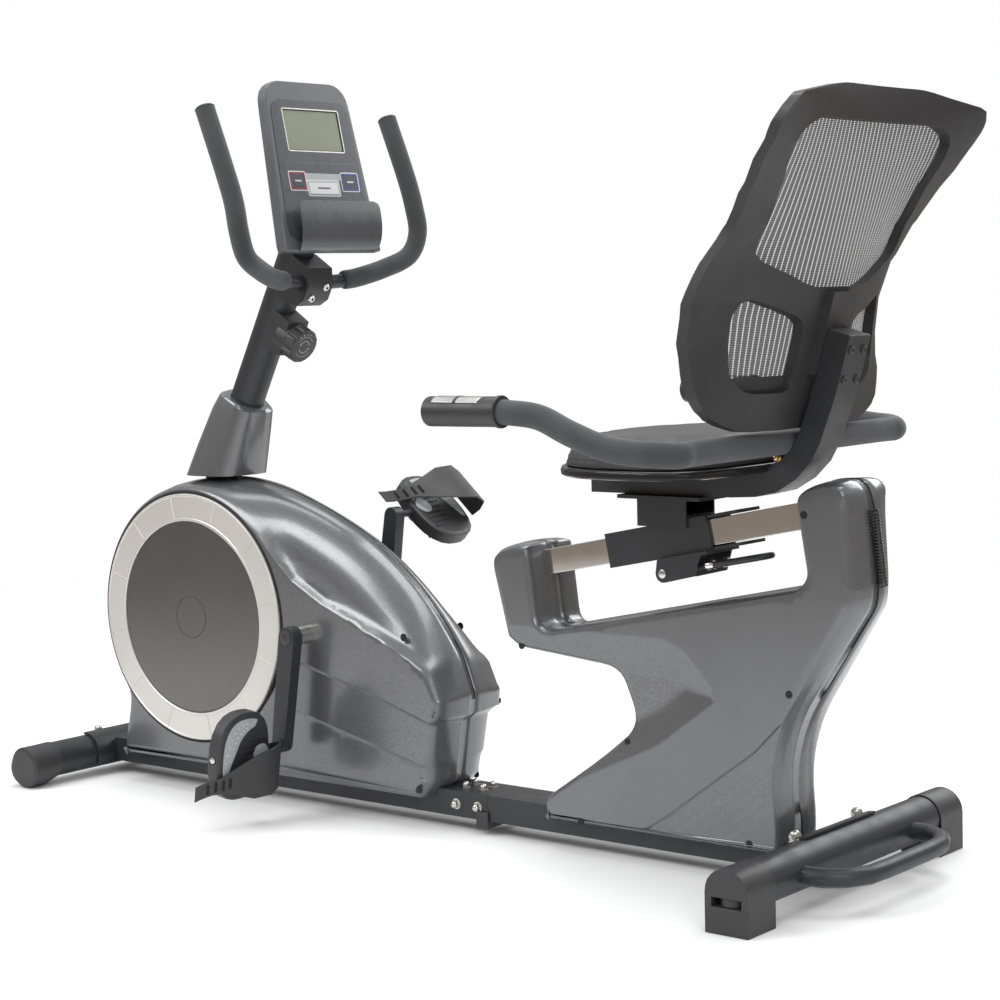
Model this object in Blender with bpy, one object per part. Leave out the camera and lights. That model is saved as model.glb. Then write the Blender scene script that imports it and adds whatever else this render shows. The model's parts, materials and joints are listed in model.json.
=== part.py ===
"""Recumbent exercise bike: steel frame on two floor stabilisers, belt drive inside split shrouds,
tilting handlebar and console on a leaning mast, and a seat with mesh backrest on a sloping rail.

Metres, +Z up. The rider faces -X and the rider's left is -Y. Heights are from the floor. Every X below
is measured from the rear stabiliser, and centre_on_origin() then moves the bike so that its box is
centred on the origin."""

import math

import bmesh
import bpy
import numpy as np
from mathutils import Vector

# Driving dimensions
GAP = 0.0003  # between pieces that touch
CENTRE_SHIFT = 0.67675  # from the rear stabiliser to the middle of the bike
REAR_TUBE_R = 0.030
REAR_AXIS_Z = 0.0518
REAR_HALF = 0.275  # half the rear stabiliser, over its feet
LEVELLER_R = 0.0185
LEVELLER_SLOT = 0.012
LEVELLER_STUD_R = 0.0045
FRONT_X = -1.426
FRONT_AXIS_Z = 0.0375
FRONT_TUBE_R = 0.0285
FRONT_HALF = 0.211
FRONT_CAP_R = 0.0335
BEAM_HALF = 0.037
BEAM_Z = (0.0204, 0.0592)
BEAM_WALL = 0.0022
BEAM_SPLIT_X = -0.576  # where the bike comes apart into two halves

CRANK = Vector((-0.900, 0, 0.2787))
CRANK_LENGTH = 0.170
CRANK_FACES = (0.098, 0.118)  # inner and outer face of a crank arm, from mid-plane
CRANK_LEAN = math.radians(8.66)  # of the upper crank towards the rider
PEDAL_TILT = {-1: math.radians(8.66), 1: math.radians(-48)}  # of each pedal's platform from upright
STRAP_THICK = 0.0022
PULLEY_R = 0.115
BELT_Y = (0.037, 0.048)
BELT_THICK = 0.0022
WHEEL = Vector((-1.153, 0, 0.287))
WHEEL_R = 0.125
HUB_R = 0.0155
WHEEL_Y = (-0.058, -0.031)
RING_R = (0.155, 0.199)
RING_THICK = 0.0040
DISC_THICK = 0.0022

SHROUD_SIDE = 0.0745
SHROUD_WALL = 0.0025
ARCH = 14.0  # how fast the front casing's back falls away from its seam, per metre
REAR_SIDE = 0.055

MAST_FOOT = Vector((-1.086, 0, 0.633))
MAST_LEAN = math.radians(27.7)
MAST_R = 0.027
MAST_WALL = 0.002
MAST_SPAN = (-0.115, 0.292)  # along the mast from MAST_FOOT
MAST_COVER_Z = 0.5125  # height of the mast cover's foot
CLAMP = Vector((-0.934, 0, 0.8165))  # axis that the handlebar tilts on
BAR_R = 0.011
GRIP_R = 0.0150
FACE_TOP = Vector((-0.9283, 0, 1.0795))  # top middle of the display
FACE_LEAN = math.radians(11.7)
DISPLAY = (0.0611, 0.0, 0.0652)  # half width, top and bottom down the face
KEYS = {
    "key_set": (-0.0711, -0.0369, 0.0990, 0.1262),
    "key_mode": (-0.0340, 0.0340, 0.1120, 0.1342),
    "key_reset": (0.0427, 0.0790, 0.0990, 0.1262),
}

RAIL_SLOPE = math.radians(11.2)
RAIL_FOOT = Vector((-0.4859, 0, 0.3866))  # on the rail's lower face
RAIL_SIZE = (0.050, 0.036)
RAIL_SPAN = (-0.040, 0.525)  # along the rail from RAIL_FOOT
SLEEVE_SPAN = (0.140, 0.312)
LATCH = Vector((-0.252, 0, 0.4065))

HANDLE_HALF = 0.297
HANDLE_R = 0.0165
SEAT_GRIP_R = 0.020
SEAT_LEG_Z = (0.513, 0.547)
CUSHION_X = (-0.374, -0.090)
CUSHION_HALF = 0.205
CUSHION_Z = (0.5478, 0.6020)
BACK_THICK = 0.016
MESH_THICK = 0.0012
BRACKET_OVERLAP = 0.006  # how deep the back bracket's block starts inside the backrest


# Small tools
def material(name, colour, roughness, metallic=0.0):
    made = bpy.data.materials.get(name)
    if made:
        return made
    made = bpy.data.materials.new(name)
    made.use_nodes = True
    shader = made.node_tree.nodes["Principled BSDF"]
    shader.inputs["Base Color"].default_value = (*colour, 1)
    shader.inputs["Roughness"].default_value = roughness
    shader.inputs["Metallic"].default_value = metallic
    return made


def black_paint():
    return material("black_paint", (0.025, 0.027, 0.03), 0.45)


def grey_gloss():
    return material("grey_gloss", (0.10, 0.10, 0.105), 0.2, 0.6)


def black_plastic():
    return material("black_plastic", (0.03, 0.03, 0.032), 0.5)


def foam():
    return material("foam", (0.05, 0.052, 0.055), 0.85)


def steel():
    return material("steel", (0.6, 0.6, 0.6), 0.25, 1.0)


def add_object(name, bm, look, origin=(0, 0, 0), sharp=35):
    """An object from a mesh in bike coordinates, with its own origin at the given place."""
    bmesh.ops.remove_doubles(bm, verts=bm.verts, dist=1e-6)
    bmesh.ops.recalc_face_normals(bm, faces=bm.faces)
    bmesh.ops.translate(bm, verts=bm.verts, vec=-Vector(origin))
    mesh = bpy.data.meshes.new(name)
    bm.to_mesh(mesh)
    bm.free()
    mesh.shade_smooth()
    mesh.set_sharp_from_angle(angle=math.radians(sharp))
    mesh.materials.append(look)
    obj = bpy.data.objects.new(name, mesh)
    bpy.context.scene.collection.objects.link(obj)
    obj.location = origin
    return obj


def helper(bm, name="helper"):
    """A cutter, or a piece that is welded to another object."""
    obj = add_object(name, bm, black_paint())
    obj.hide_render = True
    obj.display_type = "WIRE"
    return obj


def combine(obj, other, operation):
    modifier = obj.modifiers.new(operation.lower(), "BOOLEAN")
    modifier.operation = operation
    modifier.object = other
    return obj


def cut(obj, *cutters):
    for cutter in cutters:
        combine(obj, helper(cutter), "DIFFERENCE")
    return obj


def weld(obj, *pieces):
    for piece in pieces:
        combine(obj, helper(piece), "UNION")
    return obj


def loft(bm, rings, closed=False):
    """Quads between neighbouring rings, with flat ends unless the last ring meets the first."""
    rows = [[bm.verts.new(point) for point in ring] for ring in rings]
    pairs = list(zip(rows, rows[1:]))
    if closed:
        pairs.append((rows[-1], rows[0]))
    for low, high in pairs:
        count = len(low)
        for i in range(count):
            j = (i + 1) % count
            bm.faces.new((low[i], low[j], high[j], high[i]))
    if not closed:
        bm.faces.new(reversed(rows[0]))
        bm.faces.new(rows[-1])
    return bm


def lofted(rings, closed=False):
    return loft(bmesh.new(), rings, closed)


def along_y(outline, near, far):
    """A prism from an outline of (x, z) points."""
    return lofted([[Vector((x, y, z)) for x, z in outline] for y in (near, far)])


def box(low, high):
    corners = [(low[0], low[2]), (high[0], low[2]), (high[0], high[2]), (low[0], high[2])]
    return along_y(corners, low[1], high[1])


def circle(centre, u, v, radius, count, start=0.0):
    turn = [start + 2 * math.pi * k / count for k in range(count)]
    return [centre + u * radius * math.cos(a) + v * radius * math.sin(a) for a in turn]


def cross_axes(direction):
    side = Vector((0, 1, 0)) if abs(direction.y) < 0.9 else Vector((1, 0, 0))
    u = (side - direction * side.dot(direction)).normalized()
    return u, direction.cross(u)


def rod(start, end, radius, count=16):
    start, end = Vector(start), Vector(end)
    u, v = cross_axes((end - start).normalized())
    return lofted([circle(p, u, v, radius, count) for p in (start, end)])


def pipe(start, end, outer, inner, count=20):
    start, end = Vector(start), Vector(end)
    u, v = cross_axes((end - start).normalized())
    rings = [circle(p, u, v, outer, count) for p in (start, end)]
    rings += [circle(p, u, v, inner, count) for p in (end, start)]
    return lofted(rings, closed=True)


def turned(centre, profile, count=32):
    """A solid turned about the Y direction through centre, from (y, radius) points."""
    x, z = Vector((1, 0, 0)), Vector((0, 0, 1))
    rings = [circle(centre + Vector((0, y, 0)), x, z, radius, count) for y, radius in profile]
    return lofted(rings)


def smooth_route(points, steps):
    """Catmull-Rom points through a route's own points."""
    points = [Vector(p) for p in points]
    ends = [points[0] * 2 - points[1], *points, points[-1] * 2 - points[-2]]
    route = []
    for a, b, c, d in zip(ends, ends[1:], ends[2:], ends[3:]):
        for k in range(steps):
            t = k / steps
            near, far = 2 * a - 5 * b + 4 * c - d, 3 * b - a - 3 * c + d
            route.append((2 * b + (c - a) * t + near * t * t + far * t ** 3) / 2)
    return route + [points[-1]]


def frames(route):
    """A cross-section's two axes at each point of a route, carried along without twist."""
    tangents = []
    for k in range(len(route)):
        step = route[min(k + 1, len(route) - 1)] - route[max(k - 1, 0)]
        tangents.append(step.normalized())
    u, _ = cross_axes(tangents[0])
    found = []
    for tangent in tangents:
        u = (u - tangent * u.dot(tangent)).normalized()
        found.append((u, tangent.cross(u)))
    return found


def bent_tube(route, outer, inner=None, count=14):
    """A round tube along a route: open with the given bore, or solid without one."""
    axes = frames(route)
    rings = [circle(p, u, v, outer, count) for p, (u, v) in zip(route, axes)]
    if inner is None:
        return lofted(rings)
    bore = [circle(p, u, v, inner, count) for p, (u, v) in zip(route, axes)]
    return lofted(rings + bore[::-1], closed=True)


def clear_bore(radius, count):
    """The bore that clears a round bar of this radius when both have this many flat sides."""
    return radius / math.cos(math.pi / count) + GAP


def bent_box(route, half_u, half_v, wall):
    """A rectangular tube along a route in the XZ plane, half_u wide each way across Y."""
    axes = frames(route)

    def section(point, u, v, inset):
        a, b = half_u - inset, half_v - inset
        return [point + u * s * a + v * t * b for s, t in ((1, 1), (-1, 1), (-1, -1), (1, -1))]

    outside = [section(p, u, v, 0) for p, (u, v) in zip(route, axes)]
    inside = [section(p, u, v, wall) for p, (u, v) in zip(route, axes)]
    return lofted(outside + inside[::-1], closed=True)


def arc(cx, cz, radius, first, last, steps):
    """(x, z) points on an arc, angles in degrees."""
    turn = [math.radians(first + (last - first) * k / steps) for k in range(steps + 1)]
    return [(cx + radius * math.cos(a), cz + radius * math.sin(a)) for a in turn]


def inset(outline, amounts):
    """The outline moved inwards, each corner along its mitre by its own amount."""
    area = sum(a[0] * b[1] - b[0] * a[1] for a, b in zip(outline, outline[1:] + outline[:1]))
    turn = 1 if area > 0 else -1
    moved = []
    for k, here in enumerate(outline):
        before, after = outline[k - 1], outline[(k + 1) % len(outline)]
        first = Vector((here[0] - before[0], here[1] - before[1])).normalized()
        second = Vector((after[0] - here[0], after[1] - here[1])).normalized()
        normal = Vector((-first.y - second.y, first.x + second.x)).normalized() * turn
        reach = amounts[k] / max(0.5, normal.dot(Vector((-first.y, first.x)) * turn))
        moved.append((here[0] + normal.x * reach, here[1] + normal.y * reach))
    return moved


def half_shell(outline, side, crown, wall, arch=None):
    """One open half of a casing: crown lists (distance from mid-plane, inset) out to its flat side.

    arch holds a share for each corner: there the casing also falls away as a parabola across Y."""
    arch = arch or [0] * len(outline)

    def ring(y, amount):
        amounts = [amount + share * ARCH * y * y for share in arch]
        return [Vector((x, side * y, z)) for x, z in inset(outline, amounts)]

    outside = [ring(GAP / 2, 0)] + [ring(y, amount) for y, amount in crown]
    inside = [ring(y - wall * 0.9, amount + wall) for y, amount in reversed(crown[1:])]
    return lofted(inside + [ring(GAP / 2, wall)] + outside)


def mast_point(along, out=0.0, y=0.0):
    """A place given along the mast and out from its axis towards the rider."""
    up, forward = mast_axes()
    return MAST_FOOT + up * along + forward * out + Vector((0, y, 0))


def mast_axes():
    up = Vector((math.sin(MAST_LEAN), 0, math.cos(MAST_LEAN)))
    return up, Vector((up.z, 0, -up.x))


def face_point(y, down, out=0.0):
    """A place on the console's face: across, down from the display's top, and out towards the rider."""
    fall = Vector((math.sin(FACE_LEAN), 0, -math.cos(FACE_LEAN)))
    return FACE_TOP + Vector((0, y, 0)) + fall * down + face_normal() * out


def face_normal():
    return Vector((math.cos(FACE_LEAN), 0, math.sin(FACE_LEAN)))


def rail_point(along, up=0.0, y=0.0):
    """A place given along the rail and up from its lower face."""
    run = Vector((math.cos(RAIL_SLOPE), 0, math.sin(RAIL_SLOPE)))
    rise = Vector((-run.z, 0, run.x))
    return RAIL_FOOT + run * along + rise * up + Vector((0, y, 0))


def rail_box(along, up, half, wall=None):
    """A block lined up with the rail, or with a wall a tube that is open at both ends."""

    def section(at, inset_by):
        low, high, side = up[0] + inset_by, up[1] - inset_by, half - inset_by
        corners = ((low, -side), (low, side), (high, side), (high, -side))
        return [rail_point(at, height, y) for height, y in corners]

    outside = [section(at, 0) for at in along]
    if wall is None:
        return lofted(outside)
    return lofted(outside + [section(at, wall) for at in reversed(along)], closed=True)


# Frame and floor contact
def channel(x, y_half, low, high, depth=0.044, wall=0.003):
    """An upright C channel, open towards the front."""
    front, back = x - depth / 2, x + depth / 2
    plan = [
        (front, -y_half),
        (back, -y_half),
        (back, y_half),
        (front, y_half),
        (front, y_half - wall),
        (back - wall, y_half - wall),
        (back - wall, wall - y_half),
        (front, wall - y_half),
    ]
    return lofted([[Vector((px, py, z)) for px, py in plan] for z in (low, high)])


def beam(start, end):
    """The open rectangular tube along the floor."""

    def section(x, inset_by):
        low, high, side = BEAM_Z[0] + inset_by, BEAM_Z[1] - inset_by, BEAM_HALF - inset_by
        return [Vector((x, y, z)) for y, z in ((-side, low), (side, low), (side, high), (-side, high))]

    outside = [section(start, 0), section(end, 0)]
    return lofted(outside + [section(end, BEAM_WALL), section(start, BEAM_WALL)], closed=True)


def saddle(x, z, radius, first, last, half):
    """The curved plate that a stabiliser is bolted into."""
    outer = arc(x, z, radius + 0.0045, first, last, 7)
    inner = arc(x, z, radius + 3 * GAP, last, first, 7)
    return along_y(outer + inner, -half, half)


def brake_pivot():
    return Vector((WHEEL.x - 0.016, 0, WHEEL.z + 0.150))


def build_front_frame():
    obj = add_object("front_frame", beam(FRONT_X + 0.030, BEAM_SPLIT_X - GAP), black_paint())
    post_top = MAST_FOOT.z - 0.128
    spigot = pipe(mast_point(-0.150), mast_point(-0.020), MAST_R - MAST_WALL - 0.0008, 0.0215, 16)
    weld(
        obj,
        channel(WHEEL.x, 0.020, BEAM_Z[1] - 0.001, post_top),
        channel(CRANK.x, 0.020, BEAM_Z[1] - 0.001, CRANK.z),
        spigot,
        saddle(FRONT_X, FRONT_AXIS_Z, FRONT_TUBE_R, -35, 100, 0.075),
    )
    cut(obj, rod(CRANK - Vector((0, 0.03, 0)), CRANK + Vector((0, 0.03, 0)), 0.0185, 24))
    weld(obj, pipe(CRANK - Vector((0, 0.034, 0)), CRANK + Vector((0, 0.034, 0)), 0.0195, 0.0090, 24))
    cut(obj, rod(WHEEL - Vector((0, 0.03, 0)), WHEEL + Vector((0, 0.03, 0)), 0.0090, 16))
    pivot = brake_pivot()
    weld(obj, rod(pivot - Vector((0, 0.060, 0)), pivot - Vector((0, 0.018, 0)), 0.004, 12))


def build_rear_frame():
    obj = add_object("rear_frame", beam(BEAM_SPLIT_X + GAP, -0.0315), black_paint())
    spine = rail_box((-0.006, 0.505), (-0.098, -0.083), 0.019)
    weld(
        obj,
        channel(-0.190, 0.020, BEAM_Z[1] - 0.001, 0.352, 0.060),
        spine,
        rail_box((-0.016, 0.004), (-0.094, -GAP), 0.016),
        rail_box((0.475, 0.503), (-0.090, -GAP), 0.016),
        saddle(0, REAR_AXIS_Z, REAR_TUBE_R, 88, 205, 0.085),
    )


def build_stabilisers():
    front = Vector((FRONT_X, 0, FRONT_AXIS_Z))
    reach = Vector((0, FRONT_HALF - 0.030, 0))
    add_object(
        "front_stabilizer",
        pipe(front - reach, front + reach, FRONT_TUBE_R, FRONT_TUBE_R - 0.0015, 24),
        black_paint(),
    )
    rear = Vector((0, 0, REAR_AXIS_Z))
    reach = Vector((0, REAR_HALF - 0.045, 0))
    obj = add_object(
        "rear_stabilizer",
        pipe(rear - reach, rear + reach, REAR_TUBE_R, REAR_TUBE_R - 0.0015, 24),
        black_paint(),
    )
    weld(obj, bent_tube(lift_handle_route(), 0.0125, None, 10))


def lift_handle_route():
    """The U handle on the back of the rear stabiliser."""
    half = [(0.0290, -0.140), (0.055, -0.139), (0.080, -0.122), (0.0958, -0.092), (0.098, -0.050)]
    points = [(x, y, REAR_AXIS_Z - 0.001) for x, y in half]
    points += [(x, -y, z) for x, y, z in reversed(points)]
    return [Vector(p) for p in points]


def build_front_caps(side, suffix):
    """A round end cap with a transport wheel in a pocket at its front."""
    centre = Vector((FRONT_X, 0, FRONT_CAP_R))
    x, z = Vector((1, 0, 0)), Vector((0, 0, 1))

    def ring(y, radius, lift=0.0):
        return circle(centre + Vector((0, side * y, lift)), x, z, radius, 24)

    end, inner = FRONT_HALF, FRONT_HALF - 0.058
    lift = FRONT_AXIS_Z - FRONT_CAP_R
    bore = FRONT_TUBE_R + GAP
    rings = [
        ring(end - 0.002, FRONT_CAP_R - 0.003),
        ring(end, FRONT_CAP_R - 0.006),
    ]
    rings = rings[::-1] + [ring(end - 0.004, FRONT_CAP_R), ring(end - 0.036, FRONT_CAP_R)]
    rings += [ring(inner, FRONT_TUBE_R + 0.0018, lift), ring(inner, bore, lift)]
    rings += [ring(end - 0.0293, bore, lift)]
    cap = add_object("front_cap_" + suffix, lofted(rings), black_plastic())
    axle, radius, half = transport_axle(side), 0.0245, 0.0090
    room = Vector((radius + 0.001, half + 0.0008, 0))
    cut(cap, box((axle.x - 0.05, axle.y - room.y, -0.01), (axle.x + room.x, axle.y + room.y, 0.0550)))
    weld(cap, rod(axle - Vector((0, half + 0.003, 0)), axle + Vector((0, half + 0.003, 0)), 0.003, 12))
    wheel = pipe(axle - Vector((0, half, 0)), axle + Vector((0, half, 0)), radius, 0.0036, 24)
    add_object("transport_wheel_" + suffix, wheel, black_plastic(), axle)


def transport_axle(side):
    return Vector((FRONT_X - 0.0135, side * (FRONT_HALF - 0.0145), 0.0290))


def build_rear_feet(side, suffix):
    """An arched end foot, with a levelling thumbwheel and its screw."""
    outer, inner = REAR_HALF, REAR_HALF - 0.063
    half, top = 0.0318, REAR_AXIS_Z
    outline = [(-half, 0), (half, 0)] + arc(0, top, half, 0, 180, 12)
    foot = add_object("rear_foot_" + suffix, along_y(outline, side * inner, side * outer), black_plastic())
    hole = REAR_TUBE_R + GAP
    tube = rod((0, side * (inner - 0.01), REAR_AXIS_Z), (0, side * (outer - 0.0447), REAR_AXIS_Z), hole, 24)
    centre = leveller(side)
    slot_low, slot_high = centre.z - LEVELLER_SLOT / 2, centre.z + LEVELLER_SLOT / 2
    ends = sorted((side * (outer + 0.01), centre.y - side * (LEVELLER_R + 0.002)))
    slot = box((-0.0220, ends[0], slot_low), (0.0220, ends[1], slot_high))
    pad_way = rod((0, centre.y, -0.01), (0, centre.y, 0.016), 0.0105, 20)
    stud_way = rod((0, centre.y, 0.010), (0, centre.y, centre.z), LEVELLER_STUD_R + GAP, 20)
    cut(foot, tube, slot, pad_way, stud_way)
    half_thick = LEVELLER_SLOT / 2 - 0.0005
    low, high = centre - Vector((0, 0, half_thick)), centre + Vector((0, 0, half_thick))
    wheel = pipe(low, high, LEVELLER_R, LEVELLER_STUD_R + GAP, 28)
    add_object("leveller_wheel_" + suffix, wheel, black_plastic(), centre)
    stud = [(0.0012, 0.0095), (0.0058, 0.0095), (0.0058, LEVELLER_STUD_R), (high.z, LEVELLER_STUD_R)]
    u, v = cross_axes(Vector((0, 0, 1)))
    rings = [circle(Vector((0, centre.y, z)), u, v, radius, 20) for z, radius in stud]
    add_object("leveller_stud_" + suffix, lofted(rings), steel(), (0, centre.y, stud[0][0]))


def leveller(side):
    return Vector((0, side * (REAR_HALF - 0.0210), 0.0400))


def build_beam_pad():
    x, wide = BEAM_SPLIT_X - 0.009, 0.011
    low, wall = 0.010, 0.004
    outline = [
        (-BEAM_HALF - wall, low),
        (BEAM_HALF + wall, low),
        (BEAM_HALF + wall, 0.034),
        (BEAM_HALF + GAP, 0.034),
        (BEAM_HALF + GAP, BEAM_Z[0] - GAP),
        (-BEAM_HALF - GAP, BEAM_Z[0] - GAP),
        (-BEAM_HALF - GAP, 0.034),
        (-BEAM_HALF - wall, 0.034),
    ]
    rings = [[Vector((px, y, z)) for y, z in outline] for px in (x - wide, x + wide)]
    add_object("beam_pad", lofted(rings), black_plastic())


# Mast, handlebar and console
def build_mast():
    tube = pipe(mast_point(MAST_SPAN[0]), mast_point(MAST_SPAN[1]), MAST_R, MAST_R - MAST_WALL, 24)
    add_object("mast", tube, black_paint())


def mast_section(along, half_u, half_v, squareness, forward_by=0.0, count=24):
    """A rounded-square ring around the mast, or with its middle moved towards the rider."""
    _, forward = mast_axes()
    ring = []
    for k in range(count):
        a = 2 * math.pi * k / count
        c, s = math.cos(a), math.sin(a)
        grow = (abs(c) ** squareness + abs(s) ** squareness) ** (-1 / squareness)
        across = forward * half_u * c * grow + Vector((0, half_v * s * grow, 0))
        ring.append(mast_point(along, forward_by) + across)
    return ring


def build_mast_cover():
    """The tapering cover over the mast's foot, open below and around the mast."""
    wall = 0.0025
    outer = [(-0.175, 0.056, 0.061, 0.016), (-0.100, 0.0500, 0.0525, 0.008)]
    outer += [(-0.030, 0.0430, 0.0430, 0.001), (-0.004, 0.0385, 0.0385, 0.0)]
    collar, bore = MAST_R + 0.008, MAST_R + GAP * 2
    rings = [mast_section(a, u, v, 3.2, out) for a, u, v, out in outer]
    rings.append(mast_section(0.0, collar, collar, 2.4))
    rings.append(mast_section(0.0, bore, bore, 2.0))
    rings.append(mast_section(-wall, bore, bore, 2.0))
    rings += [mast_section(a - wall, u - wall, v - wall, 3.2, out) for a, u, v, out in reversed(outer)]
    obj = add_object("mast_cover", lofted(rings, closed=True), grey_gloss())
    cut(obj, box((-1.4, -0.2, 0.3), (-0.8, 0.2, MAST_COVER_Z)))




def build_tension_block():
    """The housing of the resistance knob on the rider's side of the mast, and the knob."""
    _, forward = mast_axes()
    low, high = 0.104, 0.168
    plan = [(low, MAST_R - 0.012), (high, MAST_R - 0.012), (high - 0.004, 0.050), (low + 0.004, 0.054)]
    rings = [[mast_point(a, out, y) for a, out in plan] for y in (-0.0225, 0.0225)]
    block = add_object("tension_housing", lofted(rings), black_plastic())
    centre = knob_centre()
    weld(block, rod(centre - forward * 0.022, centre - forward * GAP, 0.0270, 24))
    cut(block, rod(mast_point(0.05), mast_point(0.22), MAST_R + GAP, 32))
    u, v = cross_axes(forward)
    profile = [(0.0, 0.0190), (0.002, 0.0285), (0.019, 0.0285), (0.0215, 0.0255)]
    rings = [circle(centre + forward * out, u, v, radius, 24) for out, radius in profile]
    add_object("tension_knob", lofted(rings), black_plastic(), centre)


def knob_centre():
    return mast_point(0.134, 0.0550)


def handlebar_half(side):
    """Route of one arm, from the clamp out, back to the rider and up."""
    points = [
        (CLAMP.x, 0.0, CLAMP.z),
        (-0.9335, 0.050, 0.8168),
        (-0.9240, 0.092, 0.8225),
        (-0.9090, 0.1360, 0.8350),
        (-0.8930, 0.1800, 0.8550),
        (-0.8880, 0.1980, 0.8910),
        (-0.8960, 0.1990, 0.9360),
        (-0.9130, 0.2000, 0.9860),
        (-0.9482, 0.2000, 1.0739),
    ]
    return [Vector((x, side * y, z)) for x, y, z in points]


def build_handlebar():
    left, right = handlebar_half(-1), handlebar_half(1)
    whole = left[::-1] + right[1:]
    add_object("handlebar", bent_tube(whole, BAR_R, BAR_R - 0.0015, 10), black_paint(), CLAMP)
    for route, suffix in ((left, "left"), (right, "right")):
        start = route[1] + (route[2] - route[1]) * 0.35
        sleeve = bent_tube([start, *route[2:]], GRIP_R, clear_bore(BAR_R, 10), 10)
        add_object("handlebar_grip_" + suffix, sleeve, foam(), CLAMP)


def build_clamp():
    """The bracket that grips the handlebar in front of the mast."""
    low, high = 0.190, 0.258
    middle = (low + high) / 2
    reach = (CLAMP - MAST_FOOT).dot(mast_axes()[1])
    plan = [
        (low, MAST_R - 0.012),
        (high + 0.006, MAST_R - 0.012),
        (high + 0.002, reach + 0.006),
        (middle + 0.012, reach + 0.0190),
        (middle - 0.012, reach + 0.0190),
        (low + 0.006, reach + 0.008),
    ]
    rings = [[mast_point(a, out, y) for a, out in plan] for y in (-0.027, 0.027)]
    obj = add_object("handlebar_clamp", lofted(rings), black_paint())
    bar = rod(CLAMP - Vector((0, 0.05, 0)), CLAMP + Vector((0, 0.05, 0)), BAR_R + GAP * 2, 24)
    cut(obj, rod(mast_point(0.12), mast_point(0.32), MAST_R + GAP, 32), bar)


def face_outline(shrink=0.0):
    """(across, down) points of the console's face, wider at its foot."""
    top, foot = -0.0440 + shrink, 0.2210 - shrink
    half_top, half_foot, corner = 0.0915 - shrink, 0.1060 - shrink, 0.034
    left = [(-half_foot, foot)]
    turn = [math.radians(180 - 90 * k / 5) for k in range(6)]
    left += [(corner * math.cos(a) - half_top + corner, top + corner - corner * math.sin(a)) for a in turn]
    return left + [(-y, down) for y, down in reversed(left)]


def build_console():
    outer = [(0.0, 0.002), (-0.002, 0.0), (-0.017, 0.0), (-0.030, 0.012)]
    rings = [[face_point(y, down, out) for y, down in face_outline(shrink)] for out, shrink in outer]
    obj = add_object("console_housing", lofted(rings), material("console_grey", (0.09, 0.095, 0.10), 0.4))
    inner = [(-0.0025, 0.0045), (-0.0155, 0.0030), (-0.0275, 0.0145)]
    hollow = lofted([[face_point(y, down, out) for y, down in face_outline(shrink)] for out, shrink in inner])
    half, top, foot = DISPLAY
    windows = [(-half, half, top, foot), *KEYS.values()]
    cut(obj, hollow, *[face_block(window, GAP, (-0.010, 0.010)) for window in windows])
    cut(obj, rod(mast_point(0.15), mast_point(MAST_SPAN[1] + GAP), MAST_R + GAP, 32))
    lens = face_block((-half, half, top, foot), 0, (-0.0026, -0.0010))
    add_object("lcd_lens", lens, material("lcd", (0.20, 0.22, 0.17), 0.15))
    for name, window in KEYS.items():
        across, down = (window[0] + window[1]) / 2, (window[2] + window[3]) / 2
        look = material(name, (0.75, 0.76, 0.78) if name == "key_mode" else (0.05, 0.055, 0.07), 0.4)
        add_object(name, face_block(window, -0.0004, (-0.0035, 0.0018)), look, face_point(across, down))


def face_block(window, grow, span):
    """A block square to the console's face, from (left, right, top, foot) on it."""
    left, right, top, foot = window
    left, right, top, foot = left - grow, right + grow, top - grow, foot + grow
    corners = ((left, top), (right, top), (right, foot), (left, foot))
    return lofted([[face_point(y, down, out) for y, down in corners] for out in span])


def build_media_rest():
    """The curved ledge below the keys: it leaves the face at its foot and turns up in front of it."""
    section = [(0.0010, 0.2200), (0.0120, 0.2230), (0.0210, 0.2140)]
    section += [(0.0260, 0.1940), (0.0285, 0.1740), (0.0285, 0.1500)]
    half_widths = [0.0840, 0.0855, 0.0860, 0.0860, 0.0845, 0.0770]
    thick = 0.0025
    rings = []
    for (out, down), half in zip(section, half_widths):
        near, far = max(out - thick, GAP) if out < 0.02 else out - thick, out
        lift = thick if out < 0.03 else 0.0
        rings.append(
            [
                face_point(-half, down, far),
                face_point(half, down, far),
                face_point(half, down - lift, near),
                face_point(-half, down - lift, near),
            ]
        )
    add_object("media_rest", lofted(rings), material("rest_grey", (0.07, 0.072, 0.075), 0.3))


# Drive
def build_cranks():
    end = CRANK_FACES[0] + 0.012
    profile = [
        (-end, 0.0080), (-CRANK_FACES[0] + GAP, 0.0080), (-CRANK_FACES[0] + GAP, 0.0140), (-0.036, 0.0140),
        (-0.036, 0.0085), (0.0355, 0.0085), (0.0400, PULLEY_R - 0.010), (BELT_Y[0], PULLEY_R), (BELT_Y[1], PULLEY_R),
        (0.0440, PULLEY_R - 0.010), (0.0450, 0.0140), (CRANK_FACES[0] - GAP, 0.0140),
        (CRANK_FACES[0] - GAP, 0.0080), (end, 0.0080),
    ]
    add_object("crank_axle", turned(CRANK, profile, 24), steel(), CRANK)
    for side, suffix in ((-1, "left"), (1, "right")):
        build_crank_arm(side, suffix)


def pedal_axis(side):
    """The middle of a pedal's spindle where it leaves the crank; the right crank is the upper one."""
    lean = Vector((math.sin(CRANK_LEAN), 0, math.cos(CRANK_LEAN)))
    return CRANK + lean * CRANK_LENGTH * side + Vector((0, side * CRANK_FACES[1], 0))


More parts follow.
